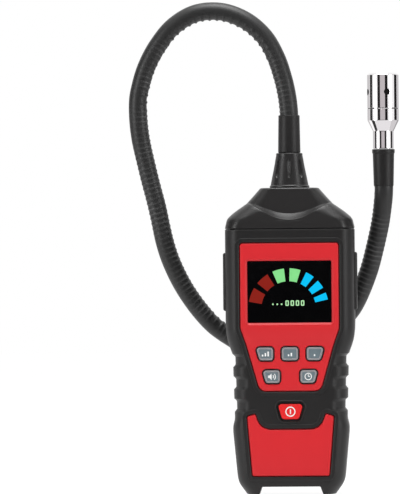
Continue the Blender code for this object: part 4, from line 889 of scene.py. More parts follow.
class LookSettings(bpy.types.PropertyGroup):
    """Colours of the finishes"""

    armour_colour: colour_setting("Armour", "Black elastomer of armour and cap", "201f1f")
    rear_colour: colour_setting("Rear case", "Black plastic of the back", "262525")
    panel_colour: colour_setting("Panels", "Red of the front panels", "da232b")
    # Painted highlight: the keys' grey is painted paler than their fields, for the light on the
    # rims
    key_rim_highlight_colour: colour_setting("Keys", "Grey rims of the five keys", "949497")
    field_colour: colour_setting("Key fields", "Blue grey inside the rims", "6d7b82")
    power_colour: colour_setting("Power key", "Red of the power key", "ea2426")
    ink_colour: colour_setting("Ink", "White of the printed marks", "f4f4f2")
    # Painted highlight: the colour painted on the crests of the gooseneck's turns
    crest_highlight_colour: colour_setting(
        "Crest highlight", "Painted highlight on the crests of the gooseneck's turns", "6a6a6a",
    )
    sheath_colour: colour_setting("Sheath", "Black of the gooseneck", "2b2b2b")
    window_colour: colour_setting("Window", "Dark tint of the display window", "060607")
    chrome_colour: colour_setting("Chrome", "Tint of the sensor head", "f3f1f2")
    low_colour: colour_setting("Low fields", "First fields of the scale", "8c2219")
    middle_colour: colour_setting("Middle fields", "Middle fields of the scale", "88e18e")
    high_colour: colour_setting("High fields", "Last fields of the scale", "08c4fa")
    text_colour: colour_setting("Digits", "Digits and dots", "b9f0b4")
    display_strength: number_setting("Display", "Brightness of the lit fields", 1.0, min=0.0)


class CaseSettings(bpy.types.PropertyGroup):
    """Edges of the case and its panels"""

    rim: length_setting("Window rim", "Rounding of the armour's windows", 0.8)
    lip_width: length_setting("Lip width", "Width of the lip round the windows", 2.6)
    lip_proud: length_setting("Lip height", "Height of the lip round the windows", 0.28)
    rim_spread: number_setting("Rim spread", "Width of the window rims by their depth", 1.8)
    panel_edge: length_setting("Panel edge", "Rounding of the red panels", 0.6)
    recess_bevel: length_setting("Recess bevel", "Bevel round the display", 1.1)
    key_edge: length_setting("Key edge", "Rounding of the key tops", 0.45)
    key_rim: length_setting("Key rim", "Width of the rim round a key's field", 1.05)
    key_dish: length_setting("Key dish", "Depth of a key's field below its rim", 0.2)
    mark_thickness: length_setting("Mark thickness", "Printed marks on the keys", 0.04)


class NeckSettings(bpy.types.PropertyGroup):
    """The gooseneck's sheath"""

    pitch: length_setting("Coil pitch", "Spacing of the wound core's turns", 3.0)
    ridge: length_setting("Ridge", "Height of a turn under the sheath", 0.3)
    fold_pitch: length_setting("Fold pitch", "Spacing of the folds inside a bend", 4.8)
    fold: length_setting("Fold", "Depth between the folds inside a bend", 0.6)
    flutes: bpy.props.IntProperty(
        name="Flutes", description="Finger flutes round the collar", default=8, min=0,
    )


class StageSettings(bpy.types.PropertyGroup):
    """Camera and lamps"""

    distance: number_setting(
        "Camera distance", "From the lens to the object", 3.0, unit="LENGTH",
    )
    pixel: length_setting("Pixel", "Size of one of the picture's pixels at the object", 0.575)
    roll: number_setting(
        "Roll", "Lean of the object in the picture", math.radians(0.49), subtype="ANGLE",
    )
    turn: number_setting(
        "Turn", "How far round to the object's left the camera stands", math.radians(2.8),
        subtype="ANGLE",
    )
    sky: number_setting("Sky", "Strength of the even light", 0.33, min=0.0)
    key_light: number_setting("Top light", "Power of the softbox overhead, in watts", 8.5)
    side_light: number_setting("Side lights", "Power of each front softbox, in watts", 3.2)
    back_light: number_setting("Back light", "Power of the softbox behind, in watts", 2.2)


# Operators, one for each piece or group of like pieces

class Builder:
    """What all the operators share."""

    bl_options = {"REGISTER", "UNDO"}


class DETECTOR_OT_materials(Builder, bpy.types.Operator):
    """Makes the finishes that the pieces share"""

    bl_idname = "detector.materials"
    bl_label = "Finishes"

    def execute(self, context):
        make_materials(context.scene.detector_look)
        return {"FINISHED"}


class DETECTOR_OT_front_armour(Builder, bpy.types.Operator):
    """Builds the black armour with its grip, feet and windows"""

    bl_idname = "detector.front_armour"
    bl_label = "Front armour"

    def execute(self, context):
        case = context.scene.detector_case
        armour = case_skin("armour_shell", -1.0, PARTING_FRONT)
        side_pads(armour, -PAD_HALF_DEPTH, PARTING_FRONT)
        reach = PARTING_FRONT + CORE_PAST
        floor = FEET_TOP + SOLE_THICK
        carve(armour, case_core("core", -1.0, ARMOUR_WALL, floor, CASE_TOP + CORE_OVER, reach))
        cut_feet(armour, FEET_GAP_LOW, FEET_GAP_HIGH, -HEAD_DEPTH * 2.0, reach)
        back = 5.0 * MM
        self.add_rim(armour, key_corners("key_power"), POWER_RIM_WIDTH, POWER_RIM_PROUD)
        for panel in (UPPER_PANEL_RIGHT, LOWER_PANEL_RIGHT):
            corners = grown(mirrored(panel), 1.6 * GAP)
            self.add_rim(armour, corners, case.lip_width, case.lip_proud)
            flared_hole(armour, corners, case.rim, back, 10, case.lip_proud, case.rim_spread)
        power = key_corners("key_power")
        proud = POWER_RIM_PROUD
        flared_hole(armour, grown(power, 1.6 * KEY_SLIT), 0.3 * MM, 1.1 * MM, 6, proud)
        flared_hole(armour, grown(power, GAP), 0.1 * MM, back, 6)
        soften(armour)
        settle(armour, "case", "black_elastomer", "elastomer", "front_armour")
        return {"FINISHED"}

    def add_rim(self, armour, corners, width, proud):
        """A low raised rim round an opening, with a rounded shoulder."""
        layers = []
        for inset, below in quarter_round(proud, 5):
            layers.append((below - proud, rounded(grown(corners, width - 2.0 * inset))))
        layers.append((ARMOUR_WALL / 2.0, layers[-1][1]))
        carve(armour, bent_plates("raised_rim", layers), "UNION")


def panel_layers(corners, edge, back):
    """Layers of a raised panel with a rounded edge."""
    layers = []
    for inset, below in quarter_round(edge, 4):
        layers.append((below - PANEL_PROUD, rounded(grown(corners, -inset))))
    layers.append((back, rounded(corners)))
    return layers


class DETECTOR_OT_front_case(Builder, bpy.types.Operator):
    """Builds the red case, whose raised panels fill the armour's windows"""

    bl_idname = "detector.front_case"
    bl_label = "Front case"

    def execute(self, context):
        case = context.scene.detector_case
        inset = ARMOUR_WALL + GAP
        floor = FEET_TOP + SOLE_THICK + GAP
        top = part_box("front_case")[1].z
        shell = case_core("red_case", -1.0, inset, floor, top, LAP)
        for corners in (mirrored(UPPER_PANEL_RIGHT), mirrored(LOWER_PANEL_RIGHT)):
            layers = panel_layers(corners, case.panel_edge, inset + CASE_WALL / 2.0)
            carve(shell, bent_plates("panel", layers), "UNION")
        reach = PARTING_FRONT + CORE_PAST
        wall = inset + CASE_WALL
        carve(shell, case_core("core", -1.0, wall, floor + CASE_WALL, CASE_TOP, reach))
        self.relieve_lap(shell)
        self.cut_display(shell, case.recess_bevel)
        for name in KEY_SHAPES:
            flared_hole(shell, grown(key_corners(name), KEY_SLIT), 0.3 * MM, 7.0 * MM, 6)
        soften(shell, 30.0)
        settle(shell, "case", "red_abs", "red_abs", "front_case")
        return {"FINISHED"}

    def relieve_lap(self, shell):
        """Room in the lapped edge for the bay's floor and the lower rear bosses."""
        half = size_of("cell_contact_low").x / 2.0 + 7.0 * GAP
        bay_top, boss_radius, back = 10.2 * MM, 3.4 * MM, LAP + PAST
        low = (-half, PARTING_FRONT, -PAST)
        carve(shell, rounded_block("bay_room", low, (half, back, bay_top)))
        for place in SCREW_NODES[2:]:
            middle = centre_of(place) - AXIS
            room = circle(24, boss_radius, middle.x, middle.z)
            carve(shell, slab("boss_room", PARTING_FRONT, back, room))

    def cut_display(self, shell, bevel):
        """A bevelled recess for the window, then the opening over the display."""
        recess = rectangle(WINDOW_WIDTH, WINDOW_HEIGHT, 0.0, WINDOW_Z, 0.9 * MM)
        face = -HEAD_DEPTH - PANEL_PROUD
        seat = face + WINDOW_RECESS + 1.5 * MM
        through = face + 9.0 * MM
        slope = 0.8
        layers = [
            (face - PAST * slope, rounded(grown(recess, bevel + PAST))),
            (face + bevel * slope, rounded(recess)),
            (seat, rounded(recess)),
        ]
        carve(shell, plates("recess", layers))
        opening = rounded(grown(recess, -2.0 * MM), 3)
        carve(shell, slab("opening", face, through, opening))


class DETECTOR_OT_rear_case(Builder, bpy.types.Operator):
    """Builds the black rear case with its bay, rails and screw holes"""

    bl_idname = "detector.rear_case"
    bl_label = "Rear case"

    def execute(self, context):
        rear = case_skin("rear_shell", 1.0, PARTING_BACK)
        side_pads(rear, PARTING_BACK, PAD_HALF_DEPTH)
        floor = FEET_TOP + SOLE_THICK
        reach = PARTING_BACK - CORE_PAST
        carve(rear, case_core("core", 1.0, REAR_WALL, floor, CASE_TOP + CORE_OVER, reach))
        self.add_bay(rear)
        self.cut_screw_holes(rear)
        soften(rear)
        settle(rear, "case", "black_abs", "black_abs", "rear_case")
        return {"FINISHED"}

    def add_bay(self, rear):
        """Bay for the cells, and the door's opening with its grooves."""
        door_low, door_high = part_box("battery_door")
        half_door = (door_high.x - door_low.x) / 2.0
        half_groove = half_door + GAP
        door_top = door_high.z + GAP
        inner_y = door_low.y - AXIS.y
        tongue_wide, tongue_thick = 1.6 * MM, 0.8 * MM
        bay_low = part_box("cell_contact_low")[0].z - GAP
        bay_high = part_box("cell_contact_high")[1].z + GAP
        half_bay = size_of("cell_contact_low").x / 2.0 + GAP
        wall, rail_deep = 1.5 * MM, 3.3 * MM
        floor_y = PARTING_BACK + GAP
        back = HANDLE_BACK_DEPTH - REAR_WALL + 0.7 * MM
        foot = FEET_TOP + 1.0 * MM
        top = bay_high + wall
        # Each row: half width, front, back, bottom and top; walls and rails, then the
        # space for the cells, the door's opening and its grooves
        forms = (
            (half_bay + wall, floor_y, back, foot, top),
            (half_groove + wall, back - rail_deep, back, foot, top),
            (half_bay, floor_y + wall, inner_y + PAST, bay_low, bay_high),
            (half_door - tongue_wide + GAP, inner_y - GAP, OUT_BACK, OUT_BELOW, door_top),
            (half_groove, inner_y - GAP, inner_y + tongue_thick + GAP, OUT_BELOW, door_top),
        )
        for index, (half, front, behind, low, high) in enumerate(forms):
            form = rounded_block("bay_form", (-half, front, low), (half, behind, high))
            carve(rear, form, "UNION" if index < 2 else "DIFFERENCE")
        cut_feet(rear, 2.0 * half_groove, 2.0 * half_groove - 0.1 * MM, 0.0, OUT_BACK)

    def cut_screw_holes(self, rear):
        """Bosses for the four case screws, with their bores and counterbores."""
        for place in SCREW_NODES:
            middle = centre_of(place) - AXIS
            outside = back_depth(middle.z)
            head = size_of(place).x / 2.0 + GAP
            # Operation, sides, radius, front and back
            forms = (
                ("UNION", 24, 3.1 * MM, PARTING_BACK, outside - REAR_WALL / 2.0 - 0.4 * MM),
                ("DIFFERENCE", 24, 1.6 * MM, 0.0, OUT_BACK),
                ("DIFFERENCE", 32, head, outside - 3.2 * MM, OUT_BACK),
            )
            for operation, sides, radius, front, back in forms:
                outline = circle(sides, radius, middle.x, middle.z)
                carve(rear, slab("screw_form", front, back, outline), operation)


def catmull(rows, steps):
    """Reads a smooth curve through rows of numbers."""
    padded = [
        tuple(2.0 * a - b for a, b in zip(rows[0], rows[1])),
        *rows,
        tuple(2.0 * a - b for a, b in zip(rows[-1], rows[-2])),
    ]
    result = []
    for a, b, c, d in zip(padded, padded[1:], padded[2:], padded[3:]):
        for step in range(steps):
            t = step / steps
            result.append(tuple(
                0.5 * (
                    2.0 * q + (r - p) * t + (2.0 * p - 5.0 * q + 4.0 * r - s) * t * t
                    + (3.0 * q - p - 3.0 * r + s) * t ** 3
                )
                for p, q, r, s in zip(a, b, c, d)
            ))
    return result + [tuple(rows[-1])]


def cap_ring(row, steps=14, flat_steps=12):
    """A ring of the cap: a rounded rectangle whose long sides dip in the middle."""
    height_share, in_x, in_y, drop_share, corner_share = row
    half_x, half_y = HEAD_HALF_WIDTH - in_x * MM, HEAD_DEPTH - in_y * MM
    corner_x = half_x * corner_share
    corner_y = half_y * max(corner_share, 0.6)
    flat = half_x - corner_x
    quarter = [(half_x, 0.0)]
    for step in range(steps + 1):
        angle = math.radians(90.0) * step / steps
        x = flat + corner_x * math.cos(angle)
        y = half_y - corner_y + corner_y * math.sin(angle)
        quarter.append((x, y))
    quarter += [(flat * step / flat_steps, half_y) for step in range(flat_steps - 1, 0, -1)]
    front = quarter + [(0.0, half_y)] + [(-x, y) for x, y in reversed(quarter)]
    outline = front + [(x, -y) for x, y in reversed(front[1:-1])]
    points = []
    for x, y in outline:
        drop = drop_share * max(0.0, 1.0 - (x / half_x) ** 2) ** CAP_DROP_POWER
        points.append((x, y, CAP_SEAM + CAP_HEIGHT * (height_share - drop)))
    return points


class DETECTOR_OT_top_cap(Builder, bpy.types.Operator):
    """Builds the two-tier cap with its stepped ledge"""

    bl_idname = "detector.top_cap"
    bl_label = "Top cap"

    def execute(self, context):
        lip_share = (CAP_LOW.z - CAP_SEAM) / CAP_HEIGHT
        lip = (REAR_WALL + 2.0 * GAP) / MM
        wall = lip + CASE_WALL / MM
        foot = [(lip_share, lip, lip, 0.0, CAP_CORNER), (-0.007, lip, lip, 0.0, CAP_CORNER)]
        rows = foot + list(CAP_SKIRT) + catmull(CAP_TIER, 6)
        rows += list(CAP_LEDGE) + catmull(CAP_CROWN, 6) + list(CAP_RIM)
        cap = loft("cap_shell", [cap_ring(row) for row in rows])
        inside = [
            (lip_share - 0.05, wall, wall, 0.0, CAP_CORNER),
            (GAP / CAP_HEIGHT, wall, wall, 0.0, CAP_CORNER),
            *CAP_INSIDE,
        ]
        carve(cap, loft("inside", [cap_ring(row, 6, 4) for row in inside]))
        bore = size_of("neck_ferrule").x / 2.0 + GAP
        carve(cap, rod("bore", 40, bore, CAP_SEAM, CAP_TOP + PAST))
        soften(cap, 24.0)
        settle(cap, "case", "black_elastomer", "satin_elastomer", "top_cap")
        self.add_parting_seal()
        return {"FINISHED"}

    def add_parting_seal(self):
        """A thin black cord of rubber in the parting line of the two case halves."""
        inset, width, from_end, apart = 0.5 * MM, 1.2 * MM, 0.6, 1.2
        heights = [(from_end + apart * step) * MM for step in range(127)]
        heights = [height for height in heights if height < CASE_TOP - from_end * MM]
        right = [(outer_half_width(height) - inset, height) for height in heights]
        outline = [(-x, z) for x, z in reversed(right)] + right
        seal = slab("parting_seal", PARTING_FRONT, PARTING_BACK, outline)
        low = FEET_TOP + SOLE_THICK
        inner = [(x - width, z) for x, z in right if z > low] + [(0.0, CASE_TOP)]
        hole = [(-x, z) for x, z in reversed(inner[:-1])] + inner[:-1]
        half_gap = FEET_GAP_LOW / 2.0
        feet = [(-half_gap, 0.0), (half_gap, 0.0), (half_gap, FEET_TOP), (-half_gap, FEET_TOP)]
        for opening in (hole, feet):
            carve(seal, slab("seal_hole", PARTING_FRONT - PAST, PARTING_BACK + PAST, opening))
        settle(seal, "case", "black_elastomer", "elastomer")


class DETECTOR_OT_display(Builder, bpy.types.Operator):
    """Builds the display window and its lit fields"""

    bl_idname = "detector.display"
    bl_label = "Display"

    def execute(self, context):
        low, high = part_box("display_window")
        front = low.y - AXIS.y
        back = high.y - AXIS.y
        corners = rectangle(high.x - low.x, high.z - low.z, 0.0, WINDOW_Z, 0.7 * MM)
        edge = 0.12 * MM
        layers = [
            (front, rounded(grown(corners, -edge))),
            (front + edge, rounded(corners)),
            (back, rounded(corners)),
        ]
        window = soften(plates("window_pane", layers))
        settle(window, "case", "smoked_acrylic", "acrylic", "display_window")
        self.add_scale(front)
        self.add_digits(front)
        return {"FINISHED"}

    def add_field(self, name, finish, front, outer, inner=None):
        field = slab(name, front - PRINT_THICK, front - PRINT_SLIT, outer, inner)
        settle(field, "case", "smoked_acrylic", finish)

    def add_scale(self, front):
        """Seven fields of a half-round scale, by their end angles in degrees."""
        x, z = -0.5 * MM, 106.6 * MM
        fields = (
            (169.9, 148.9, "lit_low"),
            (140.7, 121.4, "lit_low"),
            (113.4, 96.3, "lit_middle"),
            (88.2, 72.4, "lit_middle"),
            (63.8, 51.2, "lit_high"),
            (43.3, 30.8, "lit_high"),
            (22.9, 12.7, "lit_high"),
        )
        for index, (start, end, finish) in enumerate(fields):
            outline = arc_band(x, z, 23.0 * MM, 7.4 * MM, start, end, 8)
            self.add_field(f"scale_field_{index + 1}", finish, front, outline)

    def add_digits(self, front):
        """Three dots and plain zeros, drawn as open rectangles."""
        z = 109.7 * MM
        for index in range(3):
            dot = circle(12, 0.5 * MM, (-9.5 + 2.5 * index) * MM, z - 0.6 * MM)
            self.add_field(f"dot_{index + 1}", "lit_text", front, dot)
        width, height, stroke = 1.95 * MM, 3.1 * MM, 0.6 * MM
        hole_width, hole_height = width - 2.0 * stroke, height - 2.0 * stroke
        for index in range(4):
            x = (-1.35 + 2.95 * index) * MM
            outer = rounded(rectangle(width, height, x, z, 0.5 * MM), 4)
            inner = rounded(rectangle(hole_width, hole_height, x, z, 0.2 * MM), 4)
            self.add_field(f"digit_{index + 1}", "lit_text", front, outer, inner)


class DETECTOR_OT_keys(Builder, bpy.types.Operator):
    """Builds the six keys and the plain signs printed on them"""

    bl_idname = "detector.keys"
    bl_label = "Keys"

    def execute(self, context):
        case = context.scene.detector_case
        for name in KEY_SHAPES:
            self.add_key(name, case)
            self.add_marks(name, case)
        return {"FINISHED"}

    def add_key(self, name, case):
        """A dished top with a rounded edge, over a flange and a round stem."""
        low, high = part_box(name)
        face = low.y - AXIS.y
        tip = high.y - AXIS.y
        corners = key_corners(name)
        outline = rounded(corners, 6)
        layers = [
            (face + case.key_dish * deep, rounded(grown(corners, -case.key_rim * far), 6))
            for deep, far in ((1.0, 1.0), (0.2, 0.85), (0.0, 0.7))
        ]
        for inset, below in quarter_round(case.key_edge, 5):
            layers.append((face + below, rounded(grown(corners, -inset), 6)))
        seat = tip - 2.8 * MM
        flange = rounded(grown(corners, KEY_FLANGE), 6)
        x, z = middle_of(corners)
        radius = 1.5 * MM
        turns = [math.atan2(v - z, u - x) for u, v in outline]
        stem = [(x + radius * math.cos(turn), z + radius * math.sin(turn)) for turn in turns]
        layers += [
            (seat, outline),
            (seat, flange),
            (seat + KEY_FLANGE, flange),
            (seat + KEY_FLANGE, stem),
            (tip, stem),
        ]
        key = soften(plates(f"{name}_top", layers))
        finish = "red_silicone" if name == "key_power" else "grey_silicone"
        settle(key, name, finish, finish, name)
        # Painted highlight: a darker field plate inside the rim, so that the rim round it reads
        # paler
        if name != "key_power":
            floor = face + case.key_dish
            outline = rounded(grown(corners, -case.key_rim - 0.05 * MM), 6)
            field = slab(f"{name}_field", floor - PRINT_THICK, floor - 0.005 * MM, outline)
            settle(field, name, finish, "key_field")

    def add_marks(self, name, case):
        x, z = middle_of(key_corners(name))
        thickness = case.mark_thickness
        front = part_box(name)[0].y - AXIS.y + case.key_dish - PRINT_THICK - thickness
        for index, (outer, inner) in enumerate(KEY_SIGNS[name](x, z)):
            back = front + thickness * 0.95
            mark = slab(f"{name}_sign_{index + 1}", front, back, outer, inner)
            settle(mark, name, "white_nylon", "ink")


def bars_sign(count):
    """Rising bars, of which count are drawn."""
    def draw(x, z):
        shapes = []
        for index in range(count):
            height = (1.1 + 0.85 * index) * MM
            left = x + (index - (count - 1) / 2.0) * 1.6 * MM
            bottom = z - 1.4 * MM
            bar = rectangle(0.85 * MM, height, left, bottom + height / 2.0, 0.12 * MM)
            shapes.append((rounded(bar, 2), None))
        return shapes
    return draw


def arc_band(x, z, radius, width, start, end, steps=10):
    """A curved stroke between two angles in degrees."""
    arc = [math.radians(start + (end - start) * step / steps) for step in range(steps + 1)]
    outer = [(x + radius * math.cos(a), z + radius * math.sin(a)) for a in arc]
    radius -= width
    inner = [(x + radius * math.cos(a), z + radius * math.sin(a)) for a in reversed(arc)]
    return outer + inner


def speaker_sign(x, z):
    """A loudspeaker with two arcs of sound."""
    body = [
        (x - 2.3 * MM, z - 0.7 * MM),
        (x - 1.5 * MM, z - 0.7 * MM),
        (x - 0.2 * MM, z - 1.9 * MM),
        (x - 0.2 * MM, z + 1.9 * MM),
        (x - 1.5 * MM, z + 0.7 * MM),
        (x - 2.3 * MM, z + 0.7 * MM),
    ]
    return [
        (body, None),
        (arc_band(x - 0.2 * MM, z, 1.35 * MM, 0.5 * MM, -48.0, 48.0), None),
        (arc_band(x - 0.2 * MM, z, 2.45 * MM, 0.5 * MM, -48.0, 48.0), None),
    ]


def clock_sign(x, z):
    """A clock face with two hands."""
    return [
        (circle(32, 2.1 * MM, x, z), circle(32, 1.6 * MM, x, z)),
        (rounded(rectangle(0.45 * MM, 1.4 * MM, x, z + 0.6 * MM, 0.1 * MM), 2), None),
        (rounded(rectangle(1.1 * MM, 0.45 * MM, x + 0.55 * MM, z, 0.1 * MM), 2), None),
    ]


def power_sign(x, z):
    """A ring with a bar inside."""
    return [
        (circle(48, 2.9 * MM, x, z), circle(48, 2.25 * MM, x, z)),
        (rounded(rectangle(0.65 * MM, 2.7 * MM, x, z, 0.2 * MM), 3), None),
    ]


KEY_SIGNS = {
    "key_high": bars_sign(3),
    "key_middle": bars_sign(2),
    "key_low": bars_sign(1),
    "key_sound": speaker_sign,
    "key_timer": clock_sign,
    "key_power": power_sign,
}


class DETECTOR_OT_collar(Builder, bpy.types.Operator):
    """Builds the fluted collar and the two boots"""

    bl_idname = "detector.collar"
    bl_label = "Collar and boots"

    def execute(self, context):
        self.add_collar(context.scene.detector_neck.flutes)
        self.add_boot("root_boot", "neck_boot", 0.0, 0.0)
        self.add_boot("probe_boot", "head_boot", HEAD_X, 0.35 * MM)
        return {"FINISHED"}

    def add_collar(self, flutes):
        """A cone with a lipped foot and upright flutes pressed into it."""
        wide, height, foot = round_size("neck_collar")
        narrow = 7.6 * MM
        bore = size_of("neck_ferrule").x / 2.0 + GAP
        corners = [
            (bore, 0.0, 0.1 * MM),
            (wide, 0.0, 0.3 * MM),
            (wide - 0.05 * MM, 1.1 * MM, 0.35 * MM),
            (wide - 0.55 * MM, 1.5 * MM, 0.3 * MM),
            (narrow + 0.05 * MM, height - 1.7 * MM, 0.3 * MM),
            (narrow, height - 1.3 * MM, 0.2 * MM),
            (narrow, height, 0.6 * MM),
            (bore, height, 0.1 * MM),
        ]
        collar = spun("fluted_collar", corners, 192)
        for index in range(flutes):
            turn = 2.0 * math.pi * index / flutes - math.pi / 2.0
            carve(collar, self.flute(turn, wide, narrow, height))
        soften(collar, 30.0)
        at = upright(0.0, foot - 0.8 * GAP)
        settle(collar, "case", "black_elastomer", "satin_elastomer", "neck_collar", at=at)

    def flute(self, turn, wide, narrow, height):
        """A long four-sided bead that lies along the cone, half of it sunk in."""
        out = Vector((math.cos(turn), math.sin(turn), 0.0))
        across = Vector((-math.sin(turn), math.cos(turn), 0.0))
        middle, reach, half_width, depth = 0.55 * height, 5.4 * MM, 1.8 * MM, 1.5 * MM
        steep, blunt, steps = 1.6, 2.6, 24
        rings = []
        for step in range(1, steps):
            along = -math.cos(math.pi * step / steps)
            size = (1.0 - abs(along) ** blunt) ** 0.5
            z = middle + reach * along
            radius = wide + (narrow - wide) * z / height - 0.1 * MM
            ring = []
            for u, v in circle(32, 1.0):
                aside = math.copysign(abs(u) ** steep, u) * half_width * size
                deep = math.copysign(abs(v) ** steep, v) * depth * size
                ring.append(out * (radius + deep) + across * aside + Vector((0.0, 0.0, z)))
            rings.append(ring)
        return loft("flute", rings)

    def add_boot(self, name, node, x, lip):
        """A turned sleeve with soft ends and, on the probe's, a low lip on top."""
        low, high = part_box(node)
        low.z = low.z if lip else NECK_START_Z
        height = high.z - low.z
        outer = (high.x - low.x) / 2.0
        plain = outer - lip
        top = outer if lip else outer - 0.35 * MM
        bore = NECK_RADIUS + GAP
        corners = [
            (bore, 0.0, 0.1 * MM),
            (plain - (0.45 * MM if lip else 0.0), 0.0, 0.5 * MM),
            (plain if lip else top + 0.02 * MM, height - 2.6 * MM, 0.6 * MM),
            (top, height - 2.0 * MM, 0.4 * MM),
            (top, height, 0.45 * MM),
            (bore, height, 0.1 * MM),
        ]
        boot = soften(spun(name, corners, 64), 40.0)
        settle(boot, "case", "black_elastomer", "elastomer", node, at=upright(x, low.z))


class DETECTOR_OT_gooseneck(Builder, bpy.types.Operator):
    """Builds the gooseneck, with the wound core showing through its sheath"""

    bl_idname = "detector.gooseneck"
    bl_label = "Gooseneck"

    def execute(self, context):
        neck = context.scene.detector_neck
        boot_low, boot_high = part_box("head_boot")
        start = Vector((0.0, 0.0, NECK_START_Z))
        seat = Vector((0.0, 0.0, CAP_TOP))
        route = [start] + [seat + Vector(point) * MM for point in NECK_ROUTE]
        in_boot = boot_low.z + (boot_high.z - boot_low.z) * 0.3
        route += [Vector((HEAD_X, 0.0, z)) for z in (in_boot, boot_high.z - GAP)]
        path = self.even_points(route, neck.pitch / 8.0)
        rings, rubbed = self.ribbed_rings(path, neck)
        tube = loft("neck_sheath", rings)
        # Painted highlight: how much each point's colour is paled on the crests
        highlight_layer = tube.data.attributes.new("rubbed", "FLOAT", "POINT")
        highlight_layer.data.foreach_set("value", rubbed)
        tube.data.shade_smooth()
        settle(tube, "case", "neck_sheath", "sheath", "gooseneck")
        return {"FINISHED"}

    def even_points(self, route, spacing):
        """Points at equal distances along a smooth curve through the route."""
        fine = [Vector(row) for row in catmull([tuple(point) for point in route], 24)]
        length = sum((after - before).length for before, after in zip(fine, fine[1:]))
        count = round(length / spacing)
        step = length / count
        result = [fine[0]]
        walked = 0.0
        for before, after in zip(fine, fine[1:]):
            piece = (after - before).length
            while walked + piece >= step * len(result) and len(result) < count:
                result.append(before.lerp(after, (step * len(result) - walked) / piece))
            walked += piece
        result.append(fine[-1])
        return result

    def ribbed_rings(self, path, neck):
        """Rings round the path: turns show where it is straight, folds inside its bends."""
        radius = NECK_RADIUS + 0.15 * MM
        sides, reach, crest = 28, 30, 3
        # A bend is as tight as the sheath's radius is to its own. From where folds come
        # in and how fast, and how fast it brings out the painted crest highlight and hides turns
        fold_from, fold_rate, highlight_rate, hide_rate = 0.06, 24.0, 18.0, 25.0
        across = Vector((1.0, 0.0, 0.0))
        step = (path[1] - path[0]).length
        rings = []
        rubbed = []
        for index, point in enumerate(path):
            walked = 2.0 * math.pi * index * step
            turn_top = (0.5 + 0.5 * math.cos(walked / neck.pitch)) ** crest
            fold_top = (0.5 + 0.5 * math.cos(walked / neck.fold_pitch)) ** crest
            before = path[max(0, index - 1)]
            after = path[min(len(path) - 1, index + 1)]
            along = (after - before).normalized()
            across = (across - along * across.dot(along)).normalized()
            up = along.cross(across)
            far = path[max(0, index - reach)] + path[min(len(path) - 1, index + reach)]
            bend = (far - 2.0 * point) / (reach * step) ** 2
            tight = bend.length * radius
            sharp = min(1.0, max(0.0, (tight - fold_from) * fold_rate))
            highlight_share = 0.4 + 0.6 * min(1.0, tight * highlight_rate)
            inside = bend.normalized()
            ring = []
            for side in range(sides):
                angle = 2.0 * math.pi * side / sides
                out = across * math.cos(angle) + up * math.sin(angle)
                inner = out.dot(inside)
                turn = 1.0 - min(1.0, tight * hide_rate) * (0.5 - 0.5 * inner)
                depth = neck.ridge * turn * (1.0 - sharp) * (1.0 - turn_top)
                depth += neck.fold * max(0.0, inner) * sharp * (1.0 - fold_top)
                ring.append(point + out * (radius - depth))
                # Painted highlight on the crests, stronger in tight bends and uneven round the ring
                uneven = 0.65 + 0.35 * math.sin(0.9 * index + 2.0 * angle)
                rubbed.append(uneven * highlight_share * turn ** 2 * (1.0 - sharp) * turn_top ** 2)
            rings.append(ring)
        return rings, rubbed


